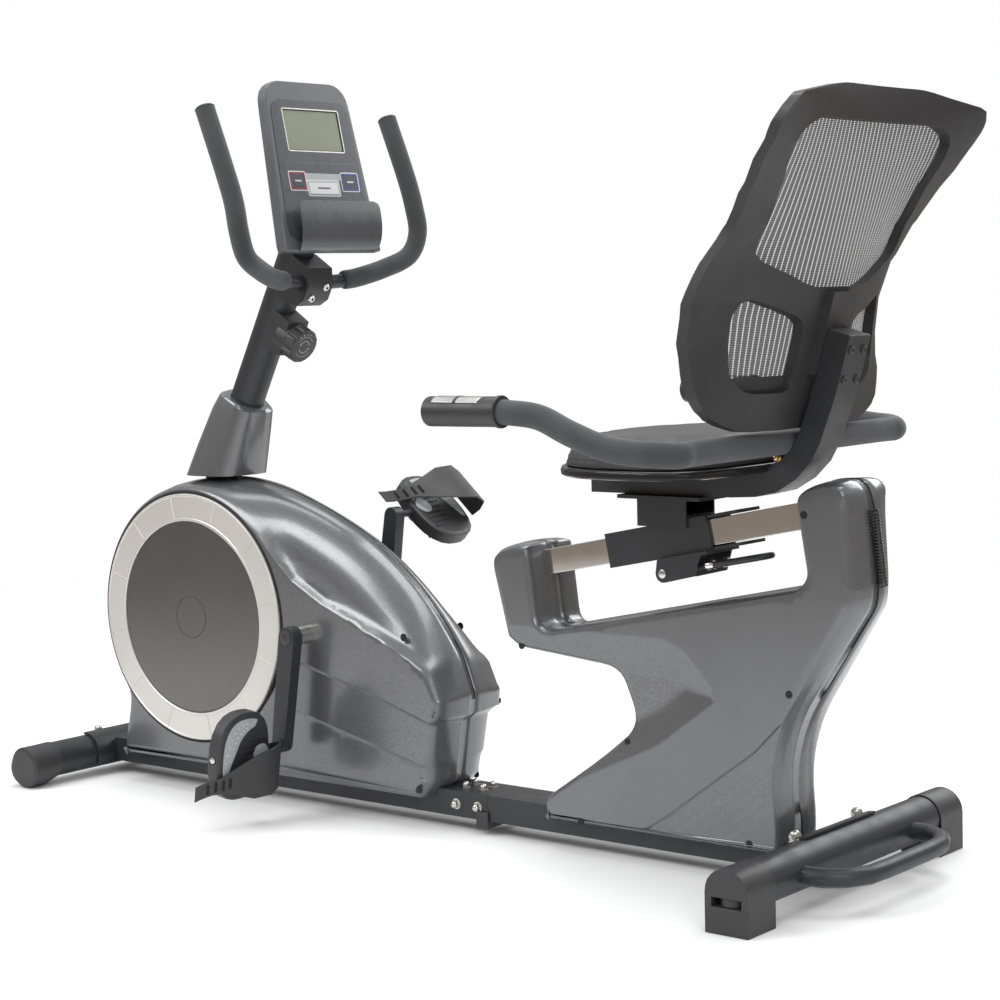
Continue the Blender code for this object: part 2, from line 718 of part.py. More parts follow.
def build_crank_arm(side, suffix):
    """A tapered arm with round ends, and the spindle screwed into it."""
    lean = math.atan2(math.cos(CRANK_LEAN) * side, math.sin(CRANK_LEAN) * side)
    wide, narrow = 0.0160, 0.0130
    tip = pedal_axis(side)
    turn = math.degrees(lean)
    outline = arc(CRANK.x, CRANK.z, wide, turn + 90, turn + 270, 8)
    outline += arc(tip.x, tip.z, narrow, turn - 90, turn + 90, 8)
    arm = along_y(outline, side * CRANK_FACES[0], side * CRANK_FACES[1])
    obj = add_object("crank_" + suffix, arm, black_paint(), CRANK)
    cut(obj, rod(CRANK, CRANK + Vector((0, side * (CRANK_FACES[0] + 0.0125), 0)), 0.0083, 16))
    weld(obj, rod(tip - Vector((0, side * 0.010, 0)), tip + Vector((0, side * 0.1365, 0)), 0.0060, 12))


def build_flywheel():
    near, far = WHEEL_Y
    profile = [
        (near + 0.004, 0.0080), (near + 0.009, 0.0200), (near + 0.009, WHEEL_R - 0.026),
        (near, WHEEL_R - 0.024), (near, WHEEL_R), (far, WHEEL_R), (far, WHEEL_R - 0.024),
        (far - 0.009, WHEEL_R - 0.026), (far - 0.009, 0.0200), (far + 0.006, 0.0080),
        (0.0255, 0.0080), (0.0255, HUB_R), (BELT_Y[1] + 0.001, HUB_R), (BELT_Y[1] + 0.001, 0.0080),
        (BELT_Y[1] + 0.010, 0.0080),
    ]
    add_object("flywheel", turned(WHEEL, profile, 28), steel(), WHEEL)


def build_belt():
    """The belt's closed loop: two arcs joined by the outer tangents of the pulley and the hub."""
    centre_line = Vector((CRANK.x - WHEEL.x, CRANK.z - WHEEL.z))
    base = math.degrees(math.atan2(centre_line.y, centre_line.x))
    spread = math.degrees(math.acos((PULLEY_R - HUB_R) / centre_line.length))

    def loop(extra):
        big = arc(CRANK.x, CRANK.z, PULLEY_R + extra, base - 180 + spread, base + 180 - spread, 34)
        small = arc(WHEEL.x, WHEEL.z, HUB_R + extra, base + 180 - spread, base + 180 + spread, 8)
        return big + small

    rings = [[Vector((x, y, z)) for x, z in loop(extra)] for y, extra in (
        (BELT_Y[0] + 0.001, 0.0007), (BELT_Y[1] - 0.001, 0.0007),
        (BELT_Y[1] - 0.001, 0.0007 + BELT_THICK), (BELT_Y[0] + 0.001, 0.0007 + BELT_THICK),
    )]
    add_object("drive_belt", lofted(rings, closed=True), material("belt", (0.02, 0.02, 0.02), 0.7))


def build_magnet_bracket():
    """The curved magnet carrier around the flywheel's front, hung from its pivot."""
    pivot = brake_pivot()
    inner, outer = WHEEL_R + 0.0055, WHEEL_R + 0.0130
    shape = arc(WHEEL.x, WHEEL.z, outer, 96, 182, 12) + arc(WHEEL.x, WHEEL.z, inner, 182, 96, 12)
    obj = add_object("magnet_bracket", along_y(shape, WHEEL_Y[0], WHEEL_Y[1] + 0.003), steel(), pivot)
    y_near, y_far = Vector((0, WHEEL_Y[0] + 0.004, 0)), Vector((0, WHEEL_Y[1] + 0.0028, 0))
    weld(obj, rod(pivot + y_near, pivot + y_far, 0.0145, 20))
    cut(obj, rod(pivot - Vector((0, 0.08, 0)), pivot, 0.0043, 12))


# Pedals
def pedal_place(side, along, y, out):
    """A place on a pedal: along it from its spindle, across from the spindle's crank end, and above it."""
    tilt = PEDAL_TILT[side]
    run = Vector((math.sin(tilt), 0, math.cos(tilt)))
    rise = Vector((run.z, 0, -run.x))
    return pedal_axis(side) + run * along + rise * out + Vector((0, side * y, 0))


def build_pedals(side, suffix):
    """A kidney-shaped platform on the spindle and the strap over it."""
    count, half_long, start, end = 24, 0.0680, 0.0300, 0.1370
    middle, half_wide = (start + end) / 2, (end - start) / 2

    def ring(out, shrink):
        points = []
        for k in range(count):
            a = 2 * math.pi * k / count
            c, s = math.cos(a), math.sin(a)
            grow = (abs(c) ** 2.6 + abs(s) ** 2.6) ** (-1 / 2.6)
            along, across = (half_long - shrink) * c * grow, middle + (half_wide - shrink) * s * grow
            points.append(pedal_place(side, along, across, out))
        return points

    rings = [ring(-0.0130, 0.006), ring(-0.0095, 0.0), ring(0.0095, 0.0), ring(0.0130, 0.006)]
    obj = add_object("pedal_" + suffix, lofted(rings), black_plastic(), pedal_axis(side))
    cut(obj, rod(pedal_axis(side), pedal_axis(side) + Vector((0, side * 0.2, 0)), 0.0064, 16))
    build_strap(side, suffix, start + end)


def build_strap(side, suffix, mirror_y):
    """The strap over a pedal: broad at one side, with a narrow tail at the other. Both tails point to -Y."""
    route = [
        (0.0255, -0.012, 0.009, 0.022),
        (0.0250, -0.014, 0.022, 0.030),
        (0.0310, -0.017, 0.036, 0.036),
        (0.0500, -0.021, 0.042, 0.037),
        (0.0800, -0.026, 0.037, 0.034),
        (0.1080, -0.031, 0.026, 0.022),
        (0.1300, -0.036, 0.017, 0.013),
        (0.1420, -0.040, 0.008, 0.0115),
        (0.1560, -0.046, 0.0, 0.0115),
        (0.1640, -0.050, -0.004, 0.0115),
    ]
    rise = 1.0
    if side > 0:
        route = [(mirror_y - y, -1.5 * along - 0.030, out, half) for y, along, out, half in reversed(route)]
        rise = 1.4
    points = [Vector((0, y, out * rise)) for y, _, out, _ in route]
    rings = []
    for k, (_, along, _, half) in enumerate(route):
        step = (points[min(k + 1, len(points) - 1)] - points[max(k - 1, 0)]).normalized()
        normal = Vector((0, -step.z, step.y)) * STRAP_THICK / 2
        near, far = points[k] - normal, points[k] + normal
        corners = ((-half, near), (half, near), (half, far), (-half, far))
        rings.append([pedal_place(side, along + reach, p.y, p.z) for reach, p in corners])
    look = material("strap", (0.03, 0.03, 0.03), 0.6)
    add_object("pedal_strap_" + suffix, lofted(rings), look, pedal_axis(side))


# Casings
def front_outline():
    """The front casing's seam, and its share of the arch at each corner: along the floor, up the nose,
    over the back, round the wheel and down to the toe."""
    floor = [(-1.336, 0.0415, 0), (-0.686, 0.0415, 0), (-0.660, 0.066, 0.20), (-0.654, 0.096, 0.15)]
    nose = [(-0.644, 0.160, 0), (-0.630, 0.171, 0), (-0.626, 0.200, 0.02)]
    nose += [(-0.645, 0.252, 0.15), (-0.674, 0.297, 0.42)]
    back = [(-0.718, 0.348, 0.90), (-0.785, 0.402, 1.0), (-0.840, 0.433, 1.0), (-0.920, 0.468, 1.0)]
    top = [(-1.000, 0.494, 0.60), (-1.060, 0.505, 0.25), (-1.130, 0.5110, 0.05), (-1.185, 0.505, 0)]
    wheel = [(x, z, 0) for x, z in arc(WHEEL.x, WHEEL.z, 0.2165, 105, 220, 14)]
    return floor + nose + back + top + wheel + [(-1.322, 0.112, 0), (-1.334, 0.078, 0)]


def build_front_shrouds(side, suffix):
    crown = [(0.0260, 0.0), (0.0480, 0.0025), (0.0660, 0.0055), (SHROUD_SIDE, 0.0120)]
    seam = [(x, z) for x, z, _ in front_outline()]
    arch = [share for _, _, share in front_outline()]
    shell = half_shell(seam, side, crown, SHROUD_WALL, arch)
    obj = add_object("shroud_" + suffix, shell, grey_gloss())
    floor_cut = box((-1.5, -BEAM_HALF - 0.0008, 0.0), (-0.5, BEAM_HALF + 0.0008, BEAM_Z[1] + 0.0008))
    mast_cut = rod(mast_point(-0.30), mast_point(0.05), MAST_R + 0.0025, 24)
    axle_cut = rod(CRANK, CRANK + Vector((0, side * 0.1, 0)), 0.0170, 24)
    cut(obj, floor_cut, mast_cut, axle_cut)
    build_side_trim(side, suffix)


def build_side_trim(side, suffix):
    """The silver ring on a casing's flat side and the dark disc inside it."""
    seat = SHROUD_SIDE + GAP
    inner, outer = (WHEEL + Vector((0, side * y, 0)) for y in (seat, seat + RING_THICK))
    ring = pipe(inner, outer, RING_R[1], RING_R[0], 40)
    add_object("ring_" + suffix, ring, material("silver", (0.62, 0.62, 0.60), 0.35, 0.7), WHEEL)
    edge = RING_R[0] - 2 * GAP
    disc = turned(WHEEL, [(side * seat, edge), (side * (seat + DISC_THICK), edge)], 40)
    add_object("disc_" + suffix, disc, grey_gloss(), WHEEL)


def rear_outline():
    """The rear casing: floor, waist, tower with its top, the slot under the rail, and the front block."""
    back = [(-0.457, 0.0400), (-0.066, 0.0400), (-0.058, 0.068), (-0.067, 0.115), (-0.067, 0.167)]
    back += [(-0.046, 0.230), (-0.019, 0.262), (0.057, 0.378), (0.060, 0.402), (0.055, 0.505)]
    top = [(0.048, 0.532), (0.032, 0.5440), (0.0, 0.5415), (-0.022, 0.5330), (-0.034, 0.522)]
    slot = [(-0.035, 0.508), (-0.020, 0.418), (-0.032, 0.4035), (-0.446, 0.3180), (-0.460, 0.324)]
    front = [(-0.472, 0.420), (-0.476, 0.4370), (-0.500, 0.4390), (-0.530, 0.430), (-0.545, 0.416)]
    front += [(-0.546, 0.400), (-0.522, 0.298), (-0.502, 0.284)]
    waist = [(-0.345, 0.270), (-0.324, 0.260), (-0.304, 0.212), (-0.306, 0.190), (-0.345, 0.149)]
    return back + top + slot + front + waist + [(-0.448, 0.084), (-0.460, 0.070)]


def build_rear_shrouds(side, suffix):
    crown = [(0.0400, 0.0020), (0.0510, 0.0045), (REAR_SIDE, 0.0090)]
    outline = rear_outline()
    arch = [0.3 if x > 0.04 and z < 0.51 else 0 for x, z in outline]
    shell = half_shell(outline, side, crown, SHROUD_WALL, arch)
    obj = add_object("rear_shroud_" + suffix, shell, grey_gloss())
    floor_cut = box((-0.6, -BEAM_HALF - 0.0008, 0.0), (0.1, BEAM_HALF + 0.0008, BEAM_Z[1] + 0.0008))
    front_way = rail_box((-0.010, 0.045), (-0.0015, RAIL_SIZE[1] + 0.0015), RAIL_SIZE[0] / 2 + 0.0015)
    tower_way = box((-0.055, -0.046, 0.4250), (0.000, 0.046, 0.5190))
    cord_way = box((0.047, -0.0210, 0.3930), (0.075, 0.0150, 0.5170))
    cut(obj, floor_cut, front_way, tower_way, cord_way)


def build_cord():
    """The curly pulse lead behind the rear casing, as one tube of its outer diameter."""
    curve = bpy.data.curves.new("pulse_cord_coil", "CURVE")
    curve.dimensions = "3D"
    curve.bevel_depth = 0.0085
    curve.bevel_resolution = 2
    curve.use_fill_caps = True
    spline = curve.splines.new("POLY")
    route = smooth_route([(0.0590, -0.0100, 0.5050), (0.0610, -0.0030, 0.4550), (0.0630, 0.0040, 0.4050)], 3)
    spline.points.add(len(route) - 1)
    for point, place in zip(spline.points, route):
        point.co = (*place, 1)
    curve.materials.append(material("cord", (0.02, 0.02, 0.02), 0.5))
    obj = bpy.data.objects.new("pulse_cord_coil", curve)
    bpy.context.scene.collection.objects.link(obj)


# Seat
def build_rail():
    rail = rail_box(RAIL_SPAN, (0, RAIL_SIZE[1]), RAIL_SIZE[0] / 2, 0.002)
    add_object("slide_rail", rail, material("chrome", (0.8, 0.8, 0.8), 0.06, 1.0))


def build_carriage():
    """The sleeve on the rail, its end plates, the post under the seat and the latch ears."""
    clear, wall = 0.0006, 0.0055
    start, end = SLEEVE_SPAN
    height, half = RAIL_SIZE[1], RAIL_SIZE[0] / 2

    def sleeve_section(at, grow):
        side, top = half + grow, height + grow
        corners = ((-grow, -side), (-grow, side), (top, side), (top, -side))
        return [rail_point(at, up, y) for up, y in corners]

    rings = [sleeve_section(at, clear + wall) for at in (start, end)]
    rings += [sleeve_section(at, clear) for at in (end, start)]
    middle = rail_point((start + end) / 2)
    obj = add_object("carriage", lofted(rings, closed=True), black_paint(), middle)
    top = height + clear + wall
    post_x = (-0.297, -0.216)
    post = box((post_x[0], -0.035, 0.4700), (post_x[1], 0.035, SEAT_LEG_Z[0] - GAP))
    hollow = box((post_x[0] + 0.003, -0.032, 0.4870), (post_x[1] + 0.010, 0.032, SEAT_LEG_Z[0] - 0.0055))
    plate = box((-0.327, -0.040, SEAT_LEG_Z[0] - 0.0055), (-0.190, 0.040, SEAT_LEG_Z[0] - GAP))
    upper = rail_box((end - 0.005, end + 0.050), (height + clear + 0.001, top), 0.028)
    lower = rail_box((end - 0.005, end + 0.050), (-clear - wall, -clear - 0.001), 0.028)
    weld(obj, post, plate, upper, lower)
    ears = [
        along_y(latch_ear(), -0.040, -0.037),
        along_y(latch_ear(), 0.037, 0.040),
        rail_box((start + 0.088, end - 0.002), (-clear - wall - 0.004, -clear - wall + 0.001), 0.040),
    ]
    weld(obj, *ears)
    cut(obj, hollow)
    cut(obj, rail_box((start - 0.01, end + 0.06), (-clear, height + clear), half + clear))
    pin = rod(LATCH - Vector((0, 0.0405, 0)), LATCH + Vector((0, 0.0405, 0)), 0.0040, 12)
    weld(obj, pin)


def latch_ear():
    """Side plate that carries the latch pin below the sleeve."""
    return arc(LATCH.x, LATCH.z, 0.0125, 160, 290, 6) + [(-0.200, 0.406), (-0.190, 0.4385), (-0.262, 0.4245)]


def build_latch():
    """The release lever: a barrel on the pin and a rod bent into a narrow loop behind it."""
    barrel = pipe(LATCH - Vector((0, 0.0362, 0)), LATCH + Vector((0, 0.0362, 0)), 0.0085, 0.0043, 16)
    obj = add_object("latch_lever", barrel, black_paint(), LATCH)
    slope = Vector((math.cos(RAIL_SLOPE), 0, math.sin(RAIL_SLOPE)))
    start = LATCH + slope * 0.006

    def place(along, y):
        return start + slope * along + Vector((0, y, 0))

    route = [place(0, -0.028), place(0.060, -0.028), place(0.125, -0.027), place(0.144, -0.021)]
    route += [place(0.152, -0.010), place(0.144, 0.001), place(0.125, 0.007)]
    route += [place(0.060, 0.008), place(0, 0.008)]
    weld(obj, bent_tube(smooth_route(route, 2), 0.0045, None, 8))


def leg_route():
    """Centre line of the seat's L-shaped frame tube."""
    z = (SEAT_LEG_Z[0] + SEAT_LEG_Z[1]) / 2
    points = [(-0.381, z), (-0.270, z), (-0.150, z + 0.0006), (-0.084, 0.5390), (-0.0385, 0.5735)]
    points += [(-0.0170, 0.6180), (0.0010, 0.6660), (0.0200, 0.7310)]
    return smooth_route([(x, 0, height) for x, height in points], 2)


def build_seat_frame():
    obj = add_object("seat_frame", bent_box(leg_route(), 0.0265, 0.0170, 0.0020), black_paint())
    x, z = cross_bar()
    saddle_block = [(x - 0.010, z - 0.034), (x + 0.024, z - 0.024), (x + 0.0195, z), (x - 0.0180, z)]
    weld(obj, along_y(saddle_block, -0.0230, 0.0230))
    cut(obj, rod((x, -0.06, z), (x, 0.06, z), HANDLE_R + GAP, 24))


def cross_bar():
    return -0.0690, 0.5890


def build_cushion():
    """A plain rounded pad where the upholstered seat lies."""
    middle, half_long = (CUSHION_X[0] + CUSHION_X[1]) / 2, (CUSHION_X[1] - CUSHION_X[0]) / 2
    count = 28

    def ring(z, shrink):
        points = []
        for k in range(count):
            a = 2 * math.pi * k / count
            c, s = math.cos(a), math.sin(a)
            power = 2.4 if c < 0 else 4
            grow = (abs(c) ** power + abs(s) ** power) ** (-1 / power)
            taper = 1 - 0.04 * max(0.0, -c * grow)
            x = middle + (half_long - shrink) * c * grow
            points.append(Vector((x, (CUSHION_HALF - shrink) * s * grow * taper, z)))
        return points

    low, high = CUSHION_Z
    rings = [ring(low, 0.012), ring(low + 0.006, 0.0), ring(high - 0.022, 0.0), ring(high - 0.007, 0.008)]
    rings.append(ring(high, 0.028))
    pad = add_object("seat_cushion", lofted(rings), material("vinyl", (0.05, 0.05, 0.052), 0.5))
    cut(pad, box((-0.168, -0.0280, 0.50), (0.0, 0.0280, 0.5700)))


def handle_route():
    """The U-shaped seat handle: two forward arms joined behind the seat."""
    x, z = cross_bar()
    y = HANDLE_HALF
    arm = [(-0.316, y, 0.6410), (-0.259, y, 0.6355), (-0.211, y, 0.6165), (-0.162, y, 0.6000)]
    arm += [(-0.120, y, 0.5935), (-0.088, y - 0.007, 0.5915)]
    half = arm + [(x + 0.002, y - 0.030, z), (x, y - 0.062, z), (x, 0.13, z), (x, 0.03, z)]
    left = [(px, -py, pz) for px, py, pz in half]
    return [Vector(p) for p in left + half[::-1]]


def build_seat_handle():
    add_object("seat_handle", bent_tube(handle_route(), HANDLE_R, 0.0105, 12), foam())
    for side, suffix in ((-1, "left"), (1, "right")):
        build_pulse_grip(side, suffix)


def build_pulse_grip(side, suffix):
    """A hard grip on the end of the handle, with its contact plate let into the top."""
    y = side * HANDLE_HALF
    front, back = Vector((-0.4430, y, 0.6402)), Vector((-0.3180, y, 0.6412))
    profile = [(0.0, 0.0150), (0.004, SEAT_GRIP_R), (0.120, SEAT_GRIP_R), (0.1250, SEAT_GRIP_R - 0.003)]
    run = (back - front).normalized()
    u, v = cross_axes(run)
    rings = [circle(front + run * at, u, v, radius, 24) for at, radius in profile]
    grip = add_object("seat_grip_" + suffix, lofted(rings), black_plastic())
    recess = plate_shape(front, y, 0.0016)
    cut(grip, recess)
    add_object("pulse_plate_" + suffix, plate_shape(front, y, 0.0), steel())


def plate_shape(front, y, grow):
    """A curved plate over the grip's top, from 40 to 140 degrees around it."""
    outer = SEAT_GRIP_R + 0.0004 + grow
    inner = SEAT_GRIP_R - 0.0016 - (GAP if grow else 0)
    margin = GAP if grow else 0
    first, last = (37, 143) if grow else (38.5, 141.5)
    axis_z = front.z + 0.0005
    section = arc(y, axis_z, outer, first, last, 8) + arc(y, axis_z, inner, last, first, 8)
    span = (front.x + 0.018 - margin, front.x + 0.096 + margin)
    return lofted([[Vector((x, py, pz)) for py, pz in section] for x in span])


# Backrest
def back_surface(y, z):
    """X of the backrest's front face: it wraps round the waist and opens out at the top."""
    heights = (0.600, 0.650, 0.700, 0.754, 0.800, 0.840, 0.900, 0.960, 1.020)
    middle = np.interp(z, heights, (-0.066, -0.050, -0.034, -0.018, -0.004, 0.008, 0.026, 0.043, 0.058))
    wrap = np.interp(z, heights, (-0.019, -0.031, -0.051, -0.0665, -0.068, -0.057, -0.027, 0.001, 0.022))
    return float(middle + wrap * (abs(y) / 0.22) ** 2)


def back_slab(front, back, across=10, up=10):
    """A curved closed slab that covers the whole backrest, between two depths behind its front face."""
    ys = [0.262 * (2 * i / across - 1) for i in range(across + 1)]
    zs = [0.580 + (1.065 - 0.580) * j / up for j in range(up + 1)]
    bm = bmesh.new()
    layers = []
    for depth in (front, back):
        layers.append([[bm.verts.new((back_surface(y, z) + depth, y, z)) for y in ys] for z in zs])
    for layer in layers:
        for low, high in zip(layer, layer[1:]):
            for i in range(across):
                bm.faces.new((low[i], low[i + 1], high[i + 1]))
                bm.faces.new((low[i], high[i + 1], high[i]))
    near, far = layers
    rim = [(0, i) for i in range(across)] + [(j, across) for j in range(up)]
    rim += [(up, i) for i in range(across, 0, -1)] + [(j, 0) for j in range(up, 0, -1)]
    for (a, b), (c, d) in zip(rim, rim[1:] + rim[:1]):
        bm.faces.new((near[a][b], near[c][d], far[c][d], far[a][b]))
    return bm


def mirrored(half):
    """A closed outline of (y, z) points from its right half, bottom to top."""
    return half + [(-y, z) for y, z in reversed(half)]


def rounded(points, radius=0.018):
    """The outline with each corner cut by two points and a middle one."""
    result = []
    for k, here in enumerate(points):
        here = Vector(here)
        before, after = Vector(points[k - 1]) - here, Vector(points[(k + 1) % len(points)]) - here
        reach = min(radius, before.length * 0.45, after.length * 0.45)
        first, last = here + before.normalized() * reach, here + after.normalized() * reach
        result += [first, (first + last) / 4 + here / 2, last]
    return [(p.x, p.y) for p in result]


def through_x(outline):
    """A long prism along X from an outline of (y, z) points."""
    return lofted([[Vector((x, y, z)) for y, z in outline] for x in (-0.4, 0.4)])


def back_outline():
    half = [(0.060, 0.6080), (0.140, 0.6090), (0.196, 0.6260), (0.224, 0.6550), (0.231, 0.7050)]
    half += [(0.2270, 0.7900)]
    return mirrored(half + [(0.2140, 0.8700), (0.2460, 0.9900), (0.2340, 1.0200), (0.1000, 1.0400)])


def upper_window():
    return mirrored([(0.060, 0.7900), (0.172, 0.8300), (0.1680, 0.8800), (0.1910, 0.9760), (0.150, 0.9970)])


def lower_window(side):
    half = [(0.058, 0.6560), (0.145, 0.6580), (0.176, 0.6820)]
    half += [(0.178, 0.7600), (0.160, 0.7800), (0.058, 0.7480)]
    return [(side * y, z) for y, z in half]


def build_backrest():
    obj = add_object("backrest_frame", back_slab(0.0, BACK_THICK), black_plastic())
    combine(obj, helper(through_x(rounded(back_outline()))), "INTERSECT")
    cut(obj, through_x(rounded(upper_window())), *[through_x(rounded(lower_window(s))) for s in (-1, 1)])
    weld(obj, along_y(back_bracket(), -0.0300, 0.0300))
    look = material("mesh", (0.06, 0.06, 0.065), 0.8)
    gauze = add_object("backrest_mesh", back_slab(-GAP - MESH_THICK, -GAP), look)
    inner = mirrored(
        [(0.055, 0.6180), (0.134, 0.6190), (0.188, 0.6350), (0.214, 0.6620), (0.222, 0.7050), (0.218, 0.7900)]
        + [(0.205, 0.8700), (0.236, 0.9860), (0.226, 1.0110), (0.1000, 1.0310)]
    )
    combine(gauze, helper(through_x(rounded(inner))), "INTERSECT")


def back_bracket():
    """The block between the backrest and the seat frame's upright."""
    (x0, _, z0), (x1, _, z1) = leg_route()[-3], leg_route()[-1]
    run = Vector((x1 - x0, 0, z1 - z0)).normalized()
    face = Vector((x1, 0, z1)) + Vector((-run.z, 0, run.x)) * (0.0170 + GAP)
    low, high = face - run * 0.060, face + run * 0.050
    inside = [(back_surface(0, z) + BRACKET_OVERLAP, z) for z in (high.z, low.z)]
    return [(low.x, low.z), (high.x, high.z), *inside]


def clear_scene():
    for obj in list(bpy.data.objects):
        bpy.data.objects.remove(obj, do_unlink=True)


def centre_on_origin():
    for obj in bpy.data.objects:
        if obj.parent is None:
            obj.location.x += CENTRE_SHIFT


def build():
    clear_scene()
    build_front_frame()
    build_rear_frame()
    build_stabilisers()
    build_beam_pad()
    build_mast()
    build_mast_cover()
    build_tension_block()
    build_handlebar()
    build_clamp()
    build_console()
    build_media_rest()
    build_cranks()
    build_flywheel()
    build_belt()
    build_magnet_bracket()
    build_cord()
    build_rail()
    build_carriage()
    build_latch()
    build_seat_frame()
    build_cushion()
    build_seat_handle()
    build_backrest()
    for side, suffix in ((-1, "left"), (1, "right")):
        build_front_caps(side, suffix)
        build_rear_feet(side, suffix)
        build_front_shrouds(side, suffix)
        build_rear_shrouds(side, suffix)
        build_pedals(side, suffix)
    centre_on_origin()


build()
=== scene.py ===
"""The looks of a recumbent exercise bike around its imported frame."""

import json
import math

import bmesh
import bpy
import numpy as np
from mathutils import Matrix, Vector
from mathutils.bvhtree import BVHTree
from mathutils.geometry import delaunay_2d_cdt

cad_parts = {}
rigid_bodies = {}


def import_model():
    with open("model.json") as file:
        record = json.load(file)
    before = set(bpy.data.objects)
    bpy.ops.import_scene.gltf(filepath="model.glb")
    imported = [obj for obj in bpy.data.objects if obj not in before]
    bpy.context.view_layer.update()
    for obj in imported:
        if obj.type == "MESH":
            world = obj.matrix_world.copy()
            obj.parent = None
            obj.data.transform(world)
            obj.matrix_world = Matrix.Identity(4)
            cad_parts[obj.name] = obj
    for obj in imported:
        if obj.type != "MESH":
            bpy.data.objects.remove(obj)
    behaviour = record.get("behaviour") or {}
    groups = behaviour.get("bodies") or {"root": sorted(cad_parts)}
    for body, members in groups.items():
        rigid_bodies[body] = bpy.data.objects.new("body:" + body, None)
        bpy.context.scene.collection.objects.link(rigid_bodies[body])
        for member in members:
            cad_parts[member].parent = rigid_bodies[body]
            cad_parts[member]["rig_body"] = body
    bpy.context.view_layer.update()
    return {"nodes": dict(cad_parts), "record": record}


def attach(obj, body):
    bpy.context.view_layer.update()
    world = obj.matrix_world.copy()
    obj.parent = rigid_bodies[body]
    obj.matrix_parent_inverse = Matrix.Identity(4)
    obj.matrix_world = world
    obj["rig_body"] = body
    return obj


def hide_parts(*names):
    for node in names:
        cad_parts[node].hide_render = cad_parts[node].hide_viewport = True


SHIFT = 0.67675  # the plan is measured from the rear stabiliser, the frame from the bike's middle
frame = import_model()
SLOT_OF = {entry["node"]: entry["material_slot"] for entry in frame["record"]["subparts"]}


def P(x, y, z):
    """A point given from the rear stabiliser, in the frame's own coordinates."""
    return Vector((x + SHIFT, y, z))


# Materials
class Nodes:
    """Builds one procedural material around a Principled shader."""

    def __init__(self, name):
        self.made = bpy.data.materials.new(name)
        self.made.use_nodes = True
        self.tree = self.made.node_tree
        self.shader = self.tree.nodes["Principled BSDF"]
        self.where = self.add("ShaderNodeTexCoord").outputs["Object"]

    def add(self, kind, **values):
        node = self.tree.nodes.new(kind)
        for key, value in values.items():
            setattr(node, key, value)
        return node

    def link(self, source, target):
        self.tree.links.new(source, target)

    def noise(self, scale, detail=2.0, stretch=(1, 1, 1)):
        texture = self.add("ShaderNodeTexNoise")
        texture.inputs["Scale"].default_value = scale
        texture.inputs["Detail"].default_value = detail
        self.link(self.stretched(stretch), texture.inputs["Vector"])
        return texture.outputs["Fac"]

    def stretched(self, stretch):
        if stretch == (1, 1, 1):
            return self.where
        mapping = self.add("ShaderNodeMapping")
        mapping.inputs["Scale"].default_value = stretch
        self.link(self.where, mapping.inputs["Vector"])
        return mapping.outputs["Vector"]

    def cells(self, scale, feature="F1"):
        texture = self.add("ShaderNodeTexVoronoi", feature=feature)
        texture.inputs["Scale"].default_value = scale
        self.link(self.where, texture.inputs["Vector"])
        return texture.outputs["Distance"]

    def ranged(self, value, low, high, start=0.3, end=0.7):
        node = self.add("ShaderNodeMapRange")
        self.link(value, node.inputs["Value"])
        for key, number in (("From Min", start), ("From Max", end), ("To Min", low), ("To Max", high)):
            node.inputs[key].default_value = number
        return node.outputs["Result"]

    def mixed(self, fac, first, second):
        node = self.add("ShaderNodeMix", data_type="RGBA")
        self.link(fac, node.inputs["Factor"])
        for socket, colour in ((node.inputs[6], first), (node.inputs[7], second)):
            if isinstance(colour, tuple):
                socket.default_value = (*colour, 1)
            else:
                self.link(colour, socket)
        return node.outputs[2]

    def maths(self, operation, first, second=0.5):
        node = self.add("ShaderNodeMath", operation=operation)
        for socket, value in zip(node.inputs, (first, second)):
            if isinstance(value, (int, float)):
                socket.default_value = value
            else:
                self.link(value, socket)
        return node.outputs[0]

    def bump(self, height, strength, distance=0.001):
        node = self.add("ShaderNodeBump")
        node.inputs["Strength"].default_value = strength
        node.inputs["Distance"].default_value = distance
        self.link(height, node.inputs["Height"])
        self.link(node.outputs["Normal"], self.shader.inputs["Normal"])

    def set(self, **values):
        for key, value in values.items():
            self.shader.inputs[key.replace("_", " ")].default_value = value


def coloured(name, colour, rough, metal=0.0, vary=0.05, patches=9.0, grain=900.0, grain_bump=0.12,
             rough_vary=0.06, **socket_shade):
    """Paint or plastic: slow colour and gloss variation with a fine surface grain."""
    n = Nodes(name)
    dark = tuple(c * (1 - vary) for c in colour)
    light = tuple(min(1, c * (1 + vary)) for c in colour)
    blend = n.ranged(n.noise(patches, 3), 0, 1)
    n.link(n.mixed(blend, dark, light), n.shader.inputs["Base Color"])
    n.link(n.ranged(n.noise(patches * 4, 4), rough - rough_vary, rough + rough_vary),
           n.shader.inputs["Roughness"])
    n.set(Metallic=metal)
    for key, value in socket_shade.items():
        n.set(**{key: value})
    if grain_bump:
        n.bump(n.noise(grain, 1), grain_bump, 0.0004)
    return n.made


def flaked_paint(name, colour, flake, rough=0.26):
    """Metallic lacquer: a dark base with fine bright flakes under a clear coat."""
    n = Nodes(name)
    flakes = n.ranged(n.noise(2600, 0), 0, 1, 0.52, 0.72)
    base = n.mixed(n.ranged(n.noise(5, 2), 0, 1), tuple(c * 0.92 for c in colour),
                   tuple(c * 1.08 for c in colour))
    n.link(n.mixed(flakes, base, flake), n.shader.inputs["Base Color"])
    n.link(n.ranged(n.noise(4, 1), rough, rough + 0.02), n.shader.inputs["Roughness"])
    n.set(Metallic=0.5, Coat_Weight=0.4, Coat_Roughness=0.12, Coat_IOR=1.5)
    return n.made


